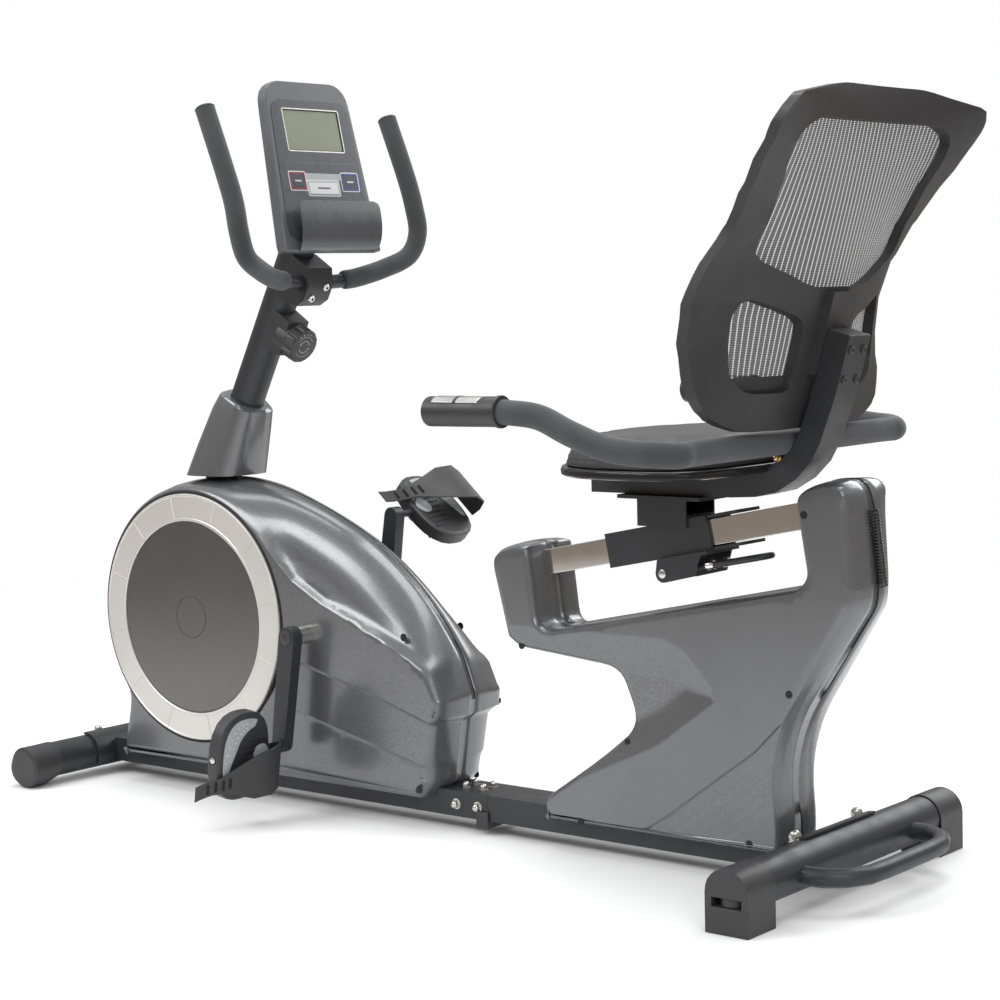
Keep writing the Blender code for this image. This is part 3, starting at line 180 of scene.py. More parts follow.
def foam_look(name, colour):
    n = Nodes(name)
    cells = n.cells(1400)
    n.link(n.mixed(n.ranged(n.noise(16, 3), 0, 1), tuple(c * 0.85 for c in colour),
                   tuple(c * 1.15 for c in colour)),
           n.shader.inputs["Base Color"])
    n.link(n.ranged(n.noise(60, 2), 0.82, 0.95), n.shader.inputs["Roughness"])
    n.set(Sheen_Weight=0.25, Sheen_Roughness=0.5, Specular_IOR_Level=0.3)
    n.bump(cells, 0.5, 0.0005)
    return n.made


def metal_look(name, colour, rough, stretch=(1, 1, 1), scratch=0.05):
    n = Nodes(name)
    lines = n.noise(220, 3, stretch)
    n.link(n.mixed(n.ranged(lines, 0, 1), tuple(c * 0.97 for c in colour), colour),
           n.shader.inputs["Base Color"])
    n.link(n.ranged(n.noise(25, 3), rough * 0.7, rough * 1.4), n.shader.inputs["Roughness"])
    n.set(Metallic=1.0)
    n.bump(lines, scratch, 0.0003)
    return n.made


def vinyl_look(name, colour):
    """Upholstery vinyl: pebbled leather grain with slightly glossier high spots."""
    n = Nodes(name)
    grain = n.maths("ADD", n.cells(620), n.maths("MULTIPLY", n.noise(260, 3), 0.6))
    n.link(n.mixed(n.ranged(n.noise(12, 3), 0, 1), tuple(c * 0.85 for c in colour),
                   tuple(c * 1.2 for c in colour)),
           n.shader.inputs["Base Color"])
    n.link(n.ranged(grain, 0.36, 0.52, 0.3, 0.9), n.shader.inputs["Roughness"])
    n.set(Specular_IOR_Level=0.55)
    n.bump(grain, 0.35, 0.0006)
    return n.made


def net_look(name, colour):
    """A woven net: upright ribs and cross threads with open holes between them."""
    n = Nodes(name)
    split = n.add("ShaderNodeSeparateXYZ")
    n.link(n.where, split.inputs[0])
    band, pitch_z = 0.0090, 0.0022

    def wave(value, pitch, sharp):
        turned = n.maths("SINE", n.maths("MULTIPLY", value, 2 * math.pi / pitch))
        return n.ranged(turned, 0, 1, sharp - 0.12, sharp + 0.12)

    slits = wave(split.outputs["Y"], band, 0.80)
    threads = wave(split.outputs["Z"], pitch_z, 0.30)
    fine = n.maths("MAXIMUM", wave(split.outputs["Y"], 0.0016, 0.0), threads)
    ribs = n.maths("SUBTRACT", 1.0, slits)
    solid = n.maths("MAXIMUM", n.maths("MULTIPLY", ribs, n.maths("MAXIMUM", fine, 0.72)), threads)
    n.link(solid, n.shader.inputs["Alpha"])
    n.link(n.mixed(ribs, tuple(c * 0.7 for c in colour), colour), n.shader.inputs["Base Color"])
    n.link(n.ranged(n.noise(300, 2), 0.55, 0.7), n.shader.inputs["Roughness"])
    n.set(Sheen_Weight=0.2)
    n.bump(n.maths("ADD", ribs, n.maths("MULTIPLY", threads, 0.6)), 0.6, 0.0006)
    return n.made


def screen_look(name, colour):
    """The unlit display: a grey-green window with faint segment cells."""
    n = Nodes(name)
    split = n.add("ShaderNodeSeparateXYZ")
    n.link(n.where, split.inputs[0])
    rows = n.maths("SINE", n.maths("MULTIPLY", split.outputs["Z"], 900))
    columns = n.maths("SINE", n.maths("MULTIPLY", split.outputs["Y"], 500))
    faint = n.ranged(n.maths("MULTIPLY", rows, columns), 0, 0.25, 0.2, 1.0)
    n.link(n.mixed(faint, colour, tuple(c * 0.8 for c in colour)), n.shader.inputs["Base Color"])
    n.link(n.ranged(n.noise(40, 2), 0.1, 0.16), n.shader.inputs["Roughness"])
    n.set(Coat_Weight=0.6, Coat_Roughness=0.03)
    return n.made


def make_looks():
    gunmetal = (0.105, 0.108, 0.112)
    return {
        "black_paint": coloured("powder_black", (0.030, 0.031, 0.034), 0.42, 0.25, grain=700,
                                grain_bump=0.22),
        "grey_gloss": flaked_paint("gunmetal_lacquer", gunmetal, (0.30, 0.30, 0.31)),
        "disc_gloss": flaked_paint("disc_lacquer", (0.085, 0.080, 0.078), (0.22, 0.21, 0.20), 0.22),
        "black_plastic": coloured("moulded_black", (0.030, 0.030, 0.032), 0.46, grain=1100,
                                  grain_bump=0.25),
        "foam": foam_look("closed_cell_foam", (0.052, 0.054, 0.058)),
        "steel": metal_look("zinc_steel", (0.62, 0.61, 0.58), 0.26),
        "console_grey": coloured("console_plastic", (0.095, 0.103, 0.112), 0.38, grain=1300,
                                 grain_bump=0.12),
        "lcd": screen_look("display_glass", (0.235, 0.255, 0.185)),
        "key_light": coloured("key_white", (0.62, 0.63, 0.64), 0.35, grain_bump=0.05, vary=0.04),
        "key_dark": coloured("key_black", (0.030, 0.032, 0.045), 0.30, grain_bump=0.05),
        "rest_grey": coloured("tray_plastic", (0.070, 0.073, 0.078), 0.28, grain=1200, grain_bump=0.08),
        "shell_gloss": coloured("shell_gloss", (0.016, 0.016, 0.017), 0.16, grain_bump=0.03),
        "belt": coloured("belt_rubber", (0.02, 0.02, 0.02), 0.7),
        "silver": flaked_paint("silver_lacquer", (0.60, 0.58, 0.55), (0.80, 0.79, 0.77), 0.34),
        "cord": coloured("cord_jacket", (0.022, 0.022, 0.023), 0.35, grain_bump=0.05),
        "chrome": metal_look("chrome_plate", (0.82, 0.80, 0.78), 0.06, (1, 8, 8), 0.03),
        "vinyl": vinyl_look("seat_vinyl", (0.050, 0.050, 0.052)),
        "mesh": net_look("backrest_net", (0.035, 0.035, 0.037)),
        "strap": coloured("strap_rubber", (0.028, 0.028, 0.030), 0.48, grain=900, grain_bump=0.2),
        # Near-black painted shade for screw holes, bolt sockets, strap slots, the trim ring's groove and the
        # display's edge; the same black also draws the casings' dark seam joints.
        "shadow": coloured("painted_shade_and_joint_black", (0.004, 0.004, 0.004), 0.7, grain_bump=0.05),
        "dark_panel": coloured("panel_ink", (0.050, 0.056, 0.066), 0.30, grain_bump=0.04),
        "pale_insert": coloured("pedal_insert", (0.36, 0.37, 0.38), 0.42, patches=40, grain=500,
                                grain_bump=0.2),
        "red_print": coloured("print_red", (0.45, 0.03, 0.03), 0.4, grain_bump=0.03),
        "blue_print": coloured("print_blue", (0.03, 0.10, 0.50), 0.4, grain_bump=0.03),
        "grey_print": coloured("print_grey", (0.35, 0.36, 0.37), 0.4, grain_bump=0.03),
        "brass": metal_look("brass_bolt", (0.66, 0.50, 0.28), 0.3),
    }


# The slot of each look that has none of its own name
LOOK_SLOT = {"shadow": "black_plastic", "dark_panel": "console_grey", "pale_insert": "silver",
             "shell_gloss": "black_plastic", "brass": "steel"}


# Mesh tools
def piece(name, bm, look, body, slot=None, smooth=40, bevel=0.0, segments=2, weld=True):
    """A finished object from a mesh in the frame's coordinates, riding on a body."""
    if weld:
        bmesh.ops.remove_doubles(bm, verts=bm.verts, dist=2e-6)
        bmesh.ops.recalc_face_normals(bm, faces=bm.faces)
    mesh = bpy.data.meshes.new(name)
    bm.to_mesh(mesh)
    bm.free()
    mesh.shade_smooth()
    mesh.set_sharp_from_angle(angle=math.radians(smooth))
    mesh.materials.append(LOOKS[look])
    obj = bpy.data.objects.new(name, mesh)
    bpy.context.scene.collection.objects.link(obj)
    if bevel:
        soften(obj, bevel, segments, smooth)
    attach(obj, body)
    slot = slot or LOOK_SLOT.get(look, look)
    return obj


def soften(obj, width, segments=2, angle=35):
    rounding = obj.modifiers.new("edges", "BEVEL")
    rounding.width = width
    rounding.segments = segments
    rounding.limit_method = "ANGLE"
    rounding.angle_limit = math.radians(angle)
    rounding.use_clamp_overlap = True
    even = obj.modifiers.new("normals", "WEIGHTED_NORMAL")
    even.keep_sharp = False
    return obj


def body_of(node):
    return frame["nodes"][node]["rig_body"]


def refined(node, look, bevel=0.0008, segments=2, smooth=38, name=None):
    """A CAD node's own shape with rounded edges and smooth shading, standing for it."""
    bm = bmesh.new()
    bm.from_mesh(frame["nodes"][node].data)
    bmesh.ops.remove_doubles(bm, verts=bm.verts, dist=2e-5)
    bmesh.ops.dissolve_degenerate(bm, dist=2e-5, edges=bm.edges)
    bmesh.ops.dissolve_limit(bm, angle_limit=math.radians(1.5), verts=bm.verts, edges=bm.edges)
    obj = piece(name or node + "_body", bm, look, body_of(node), slot=SLOT_OF[node], smooth=smooth,
                bevel=bevel,
                segments=segments)
    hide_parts(node)
    return obj


def grid_faces(bm, rings, closed=True, caps=True):
    """Skins equal rings of points."""
    rows = [[bm.verts.new(p) for p in ring] for ring in rings]
    count = len(rings[0])
    for a, b in zip(rows, rows[1:]):
        for k in range(count if closed else count - 1):
            bm.faces.new((a[k], a[(k + 1) % count], b[(k + 1) % count], b[k]))
    if caps:
        bm.faces.new(rows[0][::-1])
        bm.faces.new(rows[-1])
    return bm


def axes_across(direction):
    direction = direction.normalized()
    side = Vector((0, 1, 0)) if abs(direction.y) < 0.9 else Vector((1, 0, 0))
    u = (side - direction * side.dot(direction)).normalized()
    return u, direction.cross(u)


def ring_at(centre, u, v, radius, count, start=0.0):
    return [centre + u * radius * math.cos(a) + v * radius * math.sin(a)
            for a in (start + 2 * math.pi * k / count for k in range(count))]


def turned(bm, centre, direction, profile, count=32, start=0.0):
    """Adds a solid turned about a direction, from (along, radius) points."""
    direction = direction.normalized()
    u, v = axes_across(direction)
    rings = [ring_at(centre + direction * along, u, v, radius, count, start) for along, radius in profile]
    return grid_faces(bm, rings)


def smooth_route(points, steps):
    """Catmull-Rom points through a route's own points."""
    points = [Vector(p) for p in points]
    ends = [points[0] * 2 - points[1], *points, points[-1] * 2 - points[-2]]
    route = []
    for a, b, c, d in zip(ends, ends[1:], ends[2:], ends[3:]):
        for k in range(steps):
            t = k / steps
            near, far = 2 * a - 5 * b + 4 * c - d, 3 * b - a - 3 * c + d
            route.append((2 * b + (c - a) * t + near * t * t + far * t ** 3) / 2)
    return route + [points[-1]]


def tube(bm, route, radii, count=24, round_ends=(False, False)):
    """Adds a tube along a route; radii is one number or one for each point."""
    if isinstance(radii, (int, float)):
        radii = [radii] * len(route)
    u, _ = axes_across(route[1] - route[0])
    rings = []
    steps = 5

    def dome(centre, outward, radius, order):
        found = []
        for k in order:
            a = math.pi / 2 * k / steps
            found.append((centre + outward * radius * 0.55 * math.sin(a),
                          max(radius * math.cos(a), 0.0004)))
        return found

    for k, point in enumerate(route):
        ahead = (route[min(k + 1, len(route) - 1)] - route[max(k - 1, 0)]).normalized()
        u = (u - ahead * u.dot(ahead)).normalized()
        v = ahead.cross(u)
        if k == 0 and round_ends[0]:
            rings += [ring_at(c, u, v, r, count) for c,
                      r in dome(point, -ahead, radii[0], range(steps, 0, -1))]
        rings.append(ring_at(point, u, v, radii[k], count))
        if k == len(route) - 1 and round_ends[1]:
            rings += [ring_at(c, u, v, r, count) for c,
                      r in dome(point, ahead, radii[-1], range(1, steps + 1))]
    return grid_faces(bm, rings)


def block(bm, corners, thick):
    """Adds a flat plate: its corners on one face, and the vector through its thickness."""
    return grid_faces(bm, [[Vector(c) for c in corners], [Vector(c) + thick for c in corners]])


# Fasteners
def acorn_nut(bm, foot, up, size=0.0056):
    up = up.normalized()
    turned(bm, foot, up, [(0, size * 1.45), (0.0012, size * 1.45)], 24)
    turned(bm, foot + up * 0.0012, up, [(0, size * 1.12), (size * 0.9, size * 1.12)], 6)
    dome = [(size * (0.9 + 0.75 * math.sin(a)), max(size * math.cos(a), 0.0003))
            for a in (math.pi / 2 * k / 6 for k in range(7))]
    turned(bm, foot + up * 0.0012, up, dome, 20)


def socket_bolt(bm, foot, out, size=0.0055):
    """A button-head bolt without its socket; returns a point at the top of its head."""
    out = out.normalized()
    turned(bm, foot, out, [(0, size), (size * 0.35, size * 0.96), (size * 0.6, size * 0.72),
                           (size * 0.62, size * 0.4)],
           24)
    return foot + out * size * 0.625


def screw_hole_shade(name, foot, out, body, size=0.0052):
    """A dark disc painted as the shade in the mouth of a screw's sunk hole; the screw itself is not drawn.
    """
    out = out.normalized()
    bm = turned(bmesh.new(), foot, out, [(-0.001, size), (0.0003, size), (0.0004, size * 0.86)], 24)
    piece(name + "_hole_shade", bm, "shadow", body)


def camera_and_light():
    scene = bpy.context.scene
    data = bpy.data.cameras.new("camera")
    camera = bpy.data.objects.new("camera", data)
    scene.collection.objects.link(camera)
    azimuth, pitch, roll = math.radians(39.43), math.radians(5.28), math.radians(-1.46)
    look = Vector((-math.sin(azimuth) * math.cos(pitch), math.cos(azimuth) * math.cos(pitch),
                   -math.sin(pitch)))
    right = Vector((math.cos(azimuth), math.sin(azimuth), 0))
    up = right.cross(look)
    across = right * math.cos(roll) + up * math.sin(roll)
    upward = up * math.cos(roll) - right * math.sin(roll)
    camera.matrix_world = Matrix(
        [[across[i], upward[i], -look[i], P(1.5278, -2.5495, 0.7968)[i]] for i in range(3)] + [[0, 0, 0, 1]]
    )
    data.lens = 81.74
    data.sensor_width = 36.0
    data.clip_end = 100
    scene.camera = camera

    world = bpy.data.worlds.new("studio")
    scene.world = world
    world.use_nodes = True
    tree = world.node_tree
    tree.nodes.clear()
    output = tree.nodes.new("ShaderNodeOutputWorld")
    mix = tree.nodes.new("ShaderNodeMixShader")
    path = tree.nodes.new("ShaderNodeLightPath")
    plain = tree.nodes.new("ShaderNodeBackground")
    plain.inputs["Color"].default_value = (1, 1, 1, 1)
    plain.inputs["Strength"].default_value = 1.0
    room = tree.nodes.new("ShaderNodeBackground")
    room.inputs["Strength"].default_value = 0.85
    where = tree.nodes.new("ShaderNodeTexCoord")
    split = tree.nodes.new("ShaderNodeSeparateXYZ")
    ramp = tree.nodes.new("ShaderNodeValToRGB")
    tree.links.new(where.outputs["Generated"], split.inputs[0])
    shift = tree.nodes.new("ShaderNodeMapRange")
    shift.inputs["From Min"].default_value = -1
    tree.links.new(split.outputs["Z"], shift.inputs["Value"])
    tree.links.new(shift.outputs["Result"], ramp.inputs["Fac"])
    stops = ramp.color_ramp.elements
    stops[0].position, stops[0].color = 0.0, (0.55, 0.52, 0.49, 1)
    stops[1].position, stops[1].color = 1.0, (1.0, 1.0, 1.0, 1)
    for place, colour in ((0.47, (0.30, 0.25, 0.21, 1)), (0.56, (0.36, 0.33, 0.31, 1)),
                          (0.72, (0.80, 0.81, 0.83, 1))):
        stops.new(place).color = colour
    tree.links.new(ramp.outputs["Color"], room.inputs["Color"])
    tree.links.new(path.outputs["Is Camera Ray"], mix.inputs["Fac"])
    tree.links.new(room.outputs[0], mix.inputs[1])
    tree.links.new(plain.outputs[0], mix.inputs[2])
    tree.links.new(mix.outputs[0], output.inputs["Surface"])

    lamps = [
        ("key", (-1.6, -2.6, 2.9), (-0.1, 0, 0.5), (2.2, 1.4), 62),
        ("fill", (2.9, -1.9, 1.9), (0.1, 0, 0.5), (1.6, 1.6), 34),
        ("top", (0.0, 0.3, 3.4), (0, 0, 0.4), (3.0, 1.6), 60),
        ("back", (0.6, 3.0, 2.2), (0, 0, 0.6), (2.4, 1.2), 40),
    ]
    for name, place, aim, size, power in lamps:
        lamp = bpy.data.lights.new(name, "AREA")
        lamp.shape = "RECTANGLE"
        lamp.size, lamp.size_y = size
        lamp.energy = power
        obj = bpy.data.objects.new(name, lamp)
        scene.collection.objects.link(obj)
        obj.location = place
        obj.rotation_euler = (Vector(aim) - Vector(place)).to_track_quat("-Z", "Y").to_euler()
    scene.view_settings.view_transform = "Standard"


def build_floor():
    """A pale floor that fades into the white studio."""
    bm = bmesh.new()
    reach = 6.0
    corners = [bm.verts.new((x, y, -0.0006)) for x,
               y in ((-reach, -reach), (reach, -reach), (reach, reach), (-reach, reach))]
    bm.faces.new(corners)
    mesh = bpy.data.meshes.new("floor")
    bm.to_mesh(mesh)
    bm.free()
    n = Nodes("floor_paper")
    n.set(Base_Color=(0.93, 0.93, 0.93, 1), Roughness=0.6, Specular_IOR_Level=0.15)
    length = n.add("ShaderNodeVectorMath", operation="LENGTH")
    n.link(n.where, length.inputs[0])
    n.link(n.ranged(length.outputs["Value"], 1, 0, 1.2, 3.4), n.shader.inputs["Alpha"])
    mesh.materials.append(n.made)
    floor = bpy.data.objects.new("floor", mesh)
    bpy.context.scene.collection.objects.link(floor)


# Casings
CREASE_LINES = {
    "ridge": [(-0.960, 0.455), (-0.888, 0.434), (-0.800, 0.385), (-0.709, 0.314), (-0.676, 0.257)],
    "line": [(-0.985, 0.412), (-0.958, 0.385), (-0.926, 0.358), (-0.867, 0.327), (-0.754, 0.284),
             (-0.681, 0.252)],
    "step": [(-0.955, 0.245), (-0.919, 0.236), (-0.751, 0.195), (-0.645, 0.163)],
    "skirt": [(-0.965, 0.165), (-0.941, 0.159), (-0.699, 0.105), (-0.640, 0.089)],
}


def height_on(line, x):
    """Z of a polyline at x."""
    return float(np.interp(x, [p[0] for p in line], [p[1] for p in line]))


def smoothstep(value, low, high):
    t = min(1.0, max(0.0, (value - low) / (high - low)))
    return t * t * (3 - 2 * t)


def front_relief(x, z):
    """How far the front casing's side sinks in: a sloping band under the ridge, and two stepped skirts."""
    if x < -1.0:
        return 0.0
    fade = smoothstep(x, -0.995, -0.955)
    lower, upper = height_on(CREASE_LINES["line"], x), height_on(CREASE_LINES["ridge"], x)
    sunk = 0.0
    if z > lower:
        sunk += 0.0075 * smoothstep(z, lower - 0.001, lower + 0.012) + 0.10 * max(0.0,
                min(z, upper) - lower - 0.004)
    if z > upper:
        sunk += 0.30 * (z - upper)
    step, skirt = height_on(CREASE_LINES["step"], x), height_on(CREASE_LINES["skirt"], x)
    sunk += 0.0055 * (1 - smoothstep(z, step - 0.007, step))
    sunk += 0.0035 * (1 - smoothstep(z, skirt - 0.006, skirt))
    return sunk * fade


def inset(outline, amounts):
    """The outline moved inwards, each corner along its mitre by its own amount."""
    area = sum(a[0] * b[1] - b[0] * a[1] for a, b in zip(outline, outline[1:] + outline[:1]))
    turn = 1 if area > 0 else -1
    moved = []
    for k, here in enumerate(outline):
        before, after = outline[k - 1], outline[(k + 1) % len(outline)]
        first = Vector((here[0] - before[0], here[1] - before[1])).normalized()
        second = Vector((after[0] - here[0], after[1] - here[1])).normalized()
        normal = Vector((-first.y - second.y, first.x + second.x)).normalized() * turn
        reach = amounts[k] / max(0.5, normal.dot(Vector((-first.y, first.x)) * turn))
        moved.append((here[0] + normal.x * reach, here[1] + normal.y * reach))
    return moved


def arc(cx, cz, radius, first, last, steps):
    turn = [math.radians(first + (last - first) * k / steps) for k in range(steps + 1)]
    return [(cx + radius * math.cos(a), cz + radius * math.sin(a)) for a in turn]


def eased_outline(corners, steps=3):
    """A finer outline: each corner is cut short and rounded, and long smooth runs stay as they are."""
    made = []
    count = len(corners)
    for k in range(count):
        a, b, c = (Vector(corners[(k + j) % count]) for j in (-1, 0, 1))
        cut = [min(corners[k][2], 0.45 * (p.to_2d() - b.to_2d()).length) for p in (a, c)]
        start = b.to_2d() + (a.to_2d() - b.to_2d()).normalized() * cut[0]
        end = b.to_2d() + (c.to_2d() - b.to_2d()).normalized() * cut[1]
        for j in range(steps + 1):
            t = j / steps
            point = start * (1 - t) ** 2 + b.to_2d() * 2 * t * (1 - t) + end * t * t
            made.append((point.x, point.y))
    return made


CREASE_ROWS = (-0.0075, -0.0035, 0.0, 0.0035, 0.0075, 0.0125)


def beside_line(x, z, lines):
    """Whether a place lies in the band that a crease fills with rows of its own."""
    for line in lines:
        run = sorted(line)
        if run[0][0] < x < run[-1][0] and -0.011 < z - height_on(run, x) < 0.016:
            return True
    return False


def casing_skin(name, side, outline, arch, crown, relief, look, lines=(), cell=0.009, arch_rate=14.0):
    """One half of a casing: its rim from the seam out to the flat side, and the side with its relief."""
    bm = bmesh.new()
    rings = []
    for y, amount in crown:
        ring = inset(outline, [amount + share * arch_rate * y * y for share in arch])
        rings.append((y, ring))
    weight_from = crown[-1][0] - 0.022

    def place(x, z, y):
        share = smoothstep(y, weight_from, crown[-1][0])
        return P(x, side * (y - relief(x, z) * share), z)

    rows = [[bm.verts.new(place(x, z, y)) for x, z in ring] for y, ring in rings]
    count = len(outline)
    for a, b in zip(rows, rows[1:]):
        for k in range(count):
            bm.faces.new((a[k], a[(k + 1) % count], b[(k + 1) % count], b[k]))
    rim = rings[-1][1]
    points = [Vector(p) for p in rim]
    edges = [(k, (k + 1) % count) for k in range(count)]
    low = [min(p[i] for p in rim) for i in (0, 1)]
    high = [max(p[i] for p in rim) for i in (0, 1)]
    nx, nz = (int((high[i] - low[i]) / cell) for i in (0, 1))
    inside = Inside(rim)
    for i in range(1, nx + 1):
        for j in range(1, nz + 1):
            x = low[0] + cell * (i + (0.5 if j % 2 else 0))
            z = low[1] + cell * j
            if inside(x, z, cell * 0.45) and not beside_line(x, z, lines):
                points.append(Vector((x, z)))
    for line in lines:
        for shift in CREASE_ROWS:
            for p, q in zip(line, line[1:]):
                parts = max(2, round(math.hypot(q[0] - p[0], q[1] - p[1]) / 0.0045))
                for k in range(parts):
                    t = k / parts
                    x, z = p[0] + (q[0] - p[0]) * t, p[1] + (q[1] - p[1]) * t + shift
                    if inside(x, z, 0.002):
                        points.append(Vector((x, z)))
    found, _, faces, origin, _, _ = delaunay_2d_cdt(points, edges, [], 1, 1e-5)
    y = crown[-1][0]
    made = []
    for point, source in zip(found, origin):
        on_rim = [s for s in source if s < count]
        made.append(rows[-1][on_rim[0]] if on_rim else bm.verts.new(place(point.x, point.y, y)))
    for face in faces:
        corners = [made[k] for k in face]
        if len(set(corners)) == len(corners) and bm.faces.get(corners) is None:
            bm.faces.new(corners)
    bmesh.ops.remove_doubles(bm, verts=bm.verts, dist=2e-5)
    bmesh.ops.recalc_face_normals(bm, faces=bm.faces)
    middle = sum((f.normal.y * side * f.calc_area() for f in bm.faces if abs(f.normal.y) > 0.8), 0.0)
    if middle < 0:
        bmesh.ops.reverse_faces(bm, faces=bm.faces)
    obj = piece(name, bm, look, "frame", slot="grey_gloss", smooth=28, weld=False)
    thick = obj.modifiers.new("wall", "SOLIDIFY")
    thick.thickness = 0.0022
    thick.offset = -1
    return obj


class Inside:
    """Tests whether a point lies inside an outline and at least a margin from it."""

    def __init__(self, outline):
        self.start = np.array(outline)
        self.end = np.roll(self.start, -1, axis=0)

    def __call__(self, x, z, margin=0.0):
        a, b = self.start, self.end
        crosses = (a[:, 1] > z) != (b[:, 1] > z)
        rise = np.where(b[:, 1] == a[:, 1], 1e-12, b[:, 1] - a[:, 1])
        at = (b[:, 0] - a[:, 0]) * (z - a[:, 1]) / rise + a[:, 0]
        if np.count_nonzero(crosses & (x < at)) % 2 == 0:
            return False
        run = b - a
        t = np.clip(((x - a[:, 0]) * run[:, 0] + (z - a[:, 1]) * run[:, 1]) / np.maximum((run ** 2).sum(1),
                1e-12), 0, 1)
        near = a + run * t[:, None]
        return float(np.hypot(near[:, 0] - x, near[:, 1] - z).min()) > margin


def front_corners():
    """(x, z, corner radius, arch share) round the front casing."""
    floor = [(-1.336, 0.0415, 0.004, 0), (-0.686, 0.0415, 0.006, 0), (-0.660, 0.066, 0.006, 0.20),
             (-0.654, 0.096, 0.006, 0.15)]
    nose = [(-0.644, 0.160, 0.003, 0), (-0.630, 0.171, 0.002, 0), (-0.626, 0.200, 0.008, 0.02)]
    nose += [(-0.645, 0.252, 0.012, 0.15), (-0.674, 0.297, 0.02, 0.42)]
    back = [(-0.718, 0.348, 0.03, 0.90), (-0.785, 0.402, 0.03, 1.0), (-0.840, 0.433, 0.03, 1.0),
            (-0.920, 0.468, 0.04, 1.0)]
    top = [(-1.000, 0.494, 0.03, 0.60), (-1.060, 0.505, 0.03, 0.25), (-1.130, 0.511, 0.03, 0.05),
           (-1.185, 0.505, 0.02, 0)]
    wheel = [(x, z, 0.012, 0) for x, z in arc(-1.153, 0.287, 0.2165, 105, 220, 18)]
    return floor + nose + back + top + wheel + [(-1.322, 0.112, 0.02, 0), (-1.334, 0.078, 0.01, 0)]


def rear_corners():
    points = [(-0.457, 0.0400, 0.004), (-0.066, 0.0400, 0.004), (-0.058, 0.068, 0.02),
              (-0.067, 0.115, 0.02)]
    points += [(-0.067, 0.167, 0.02), (-0.046, 0.230, 0.02), (-0.019, 0.262, 0.02), (0.057, 0.378, 0.012)]
    points += [(0.060, 0.402, 0.012), (0.055, 0.505, 0.012), (0.048, 0.532, 0.010), (0.032, 0.5440, 0.010)]
    points += [(0.0, 0.5415, 0.012), (-0.022, 0.5330, 0.010), (-0.034, 0.522, 0.006),
               (-0.035, 0.508, 0.008)]
    points += [(-0.020, 0.418, 0.008), (-0.032, 0.4035, 0.008), (-0.446, 0.3180, 0.012),
               (-0.460, 0.324, 0.012)]
    points += [(-0.472, 0.420, 0.008), (-0.476, 0.4370, 0.005), (-0.500, 0.4390, 0.012),
               (-0.530, 0.430, 0.010)]
    points += [(-0.545, 0.416, 0.008), (-0.546, 0.400, 0.008), (-0.522, 0.298, 0.005),
               (-0.502, 0.284, 0.008)]
    points += [(-0.345, 0.270, 0.012), (-0.324, 0.260, 0.014), (-0.304, 0.212, 0.012),
               (-0.306, 0.190, 0.014)]
    return points + [(-0.345, 0.149, 0.03), (-0.448, 0.084, 0.012), (-0.460, 0.070, 0.006)]


def spread_shares(corners, steps, passes=7):
    """A share for each outline point, blended from corner to corner so that the crown swells evenly."""
    shares = [share for share in corners for _ in range(steps + 1)]
    for _ in range(passes):
        shares = [(shares[k - 1] + 2 * shares[k] + shares[(k + 1) % len(shares)]) / 4
                  for k in range(len(shares))]
    return shares


def relaxed(outline, corners, steps, passes=10, gentle=0.02):
    """The outline with its long smooth runs evened out; its tight corners stay where they are."""
    loose = [corner[2] >= gentle for corner in corners for _ in range(steps + 1)]
    for _ in range(passes):
        outline = [
            ((outline[k - 1][0] + 2 * x + outline[(k + 1) % len(outline)][0]) / 4,
             (outline[k - 1][1] + 2 * z + outline[(k + 1) % len(outline)][1]) / 4) if loose[k] else (x, z)
            for k, (x, z) in enumerate(outline)]
    return outline


REAR_FACETS = {
    "upper": [(-0.520, 0.318), (-0.245, 0.318), (-0.210, 0.306), (-0.164, 0.257), (-0.163, 0.240)],
    "lower": [(-0.163, 0.240), (-0.256, 0.171), (-0.388, 0.110), (-0.450, 0.090)],
    "sweep": [(0.050, 0.380), (0.010, 0.320), (-0.045, 0.235), (-0.100, 0.180), (-0.169, 0.130),
              (-0.240, 0.078), (-0.305, 0.037)],
    "panel": [(-0.235, 0.083), (-0.120, 0.083), (-0.095, 0.070)],
}


def rear_relief(x, z):
    """The rear casing's side: a pocket behind the waist, and a crease that hollows towards the back foot."""
    sunk = 0.0
    sweep = REAR_FACETS["sweep"][::-1]
    if x > sweep[0][0]:
        above = height_on(sweep, x)
        if z < above:
            sunk += 0.0022 * smoothstep(above - z, 0, 0.004) + 0.020 * min(above - z, 0.10)
    if x < -0.163:
        upper, lower = height_on(REAR_FACETS["upper"], x), height_on(REAR_FACETS["lower"][::-1], x)
        if lower < z < upper:
            depth = min(upper - z, z - lower)
            sunk += min(0.0075, 0.16 * depth)
    return sunk


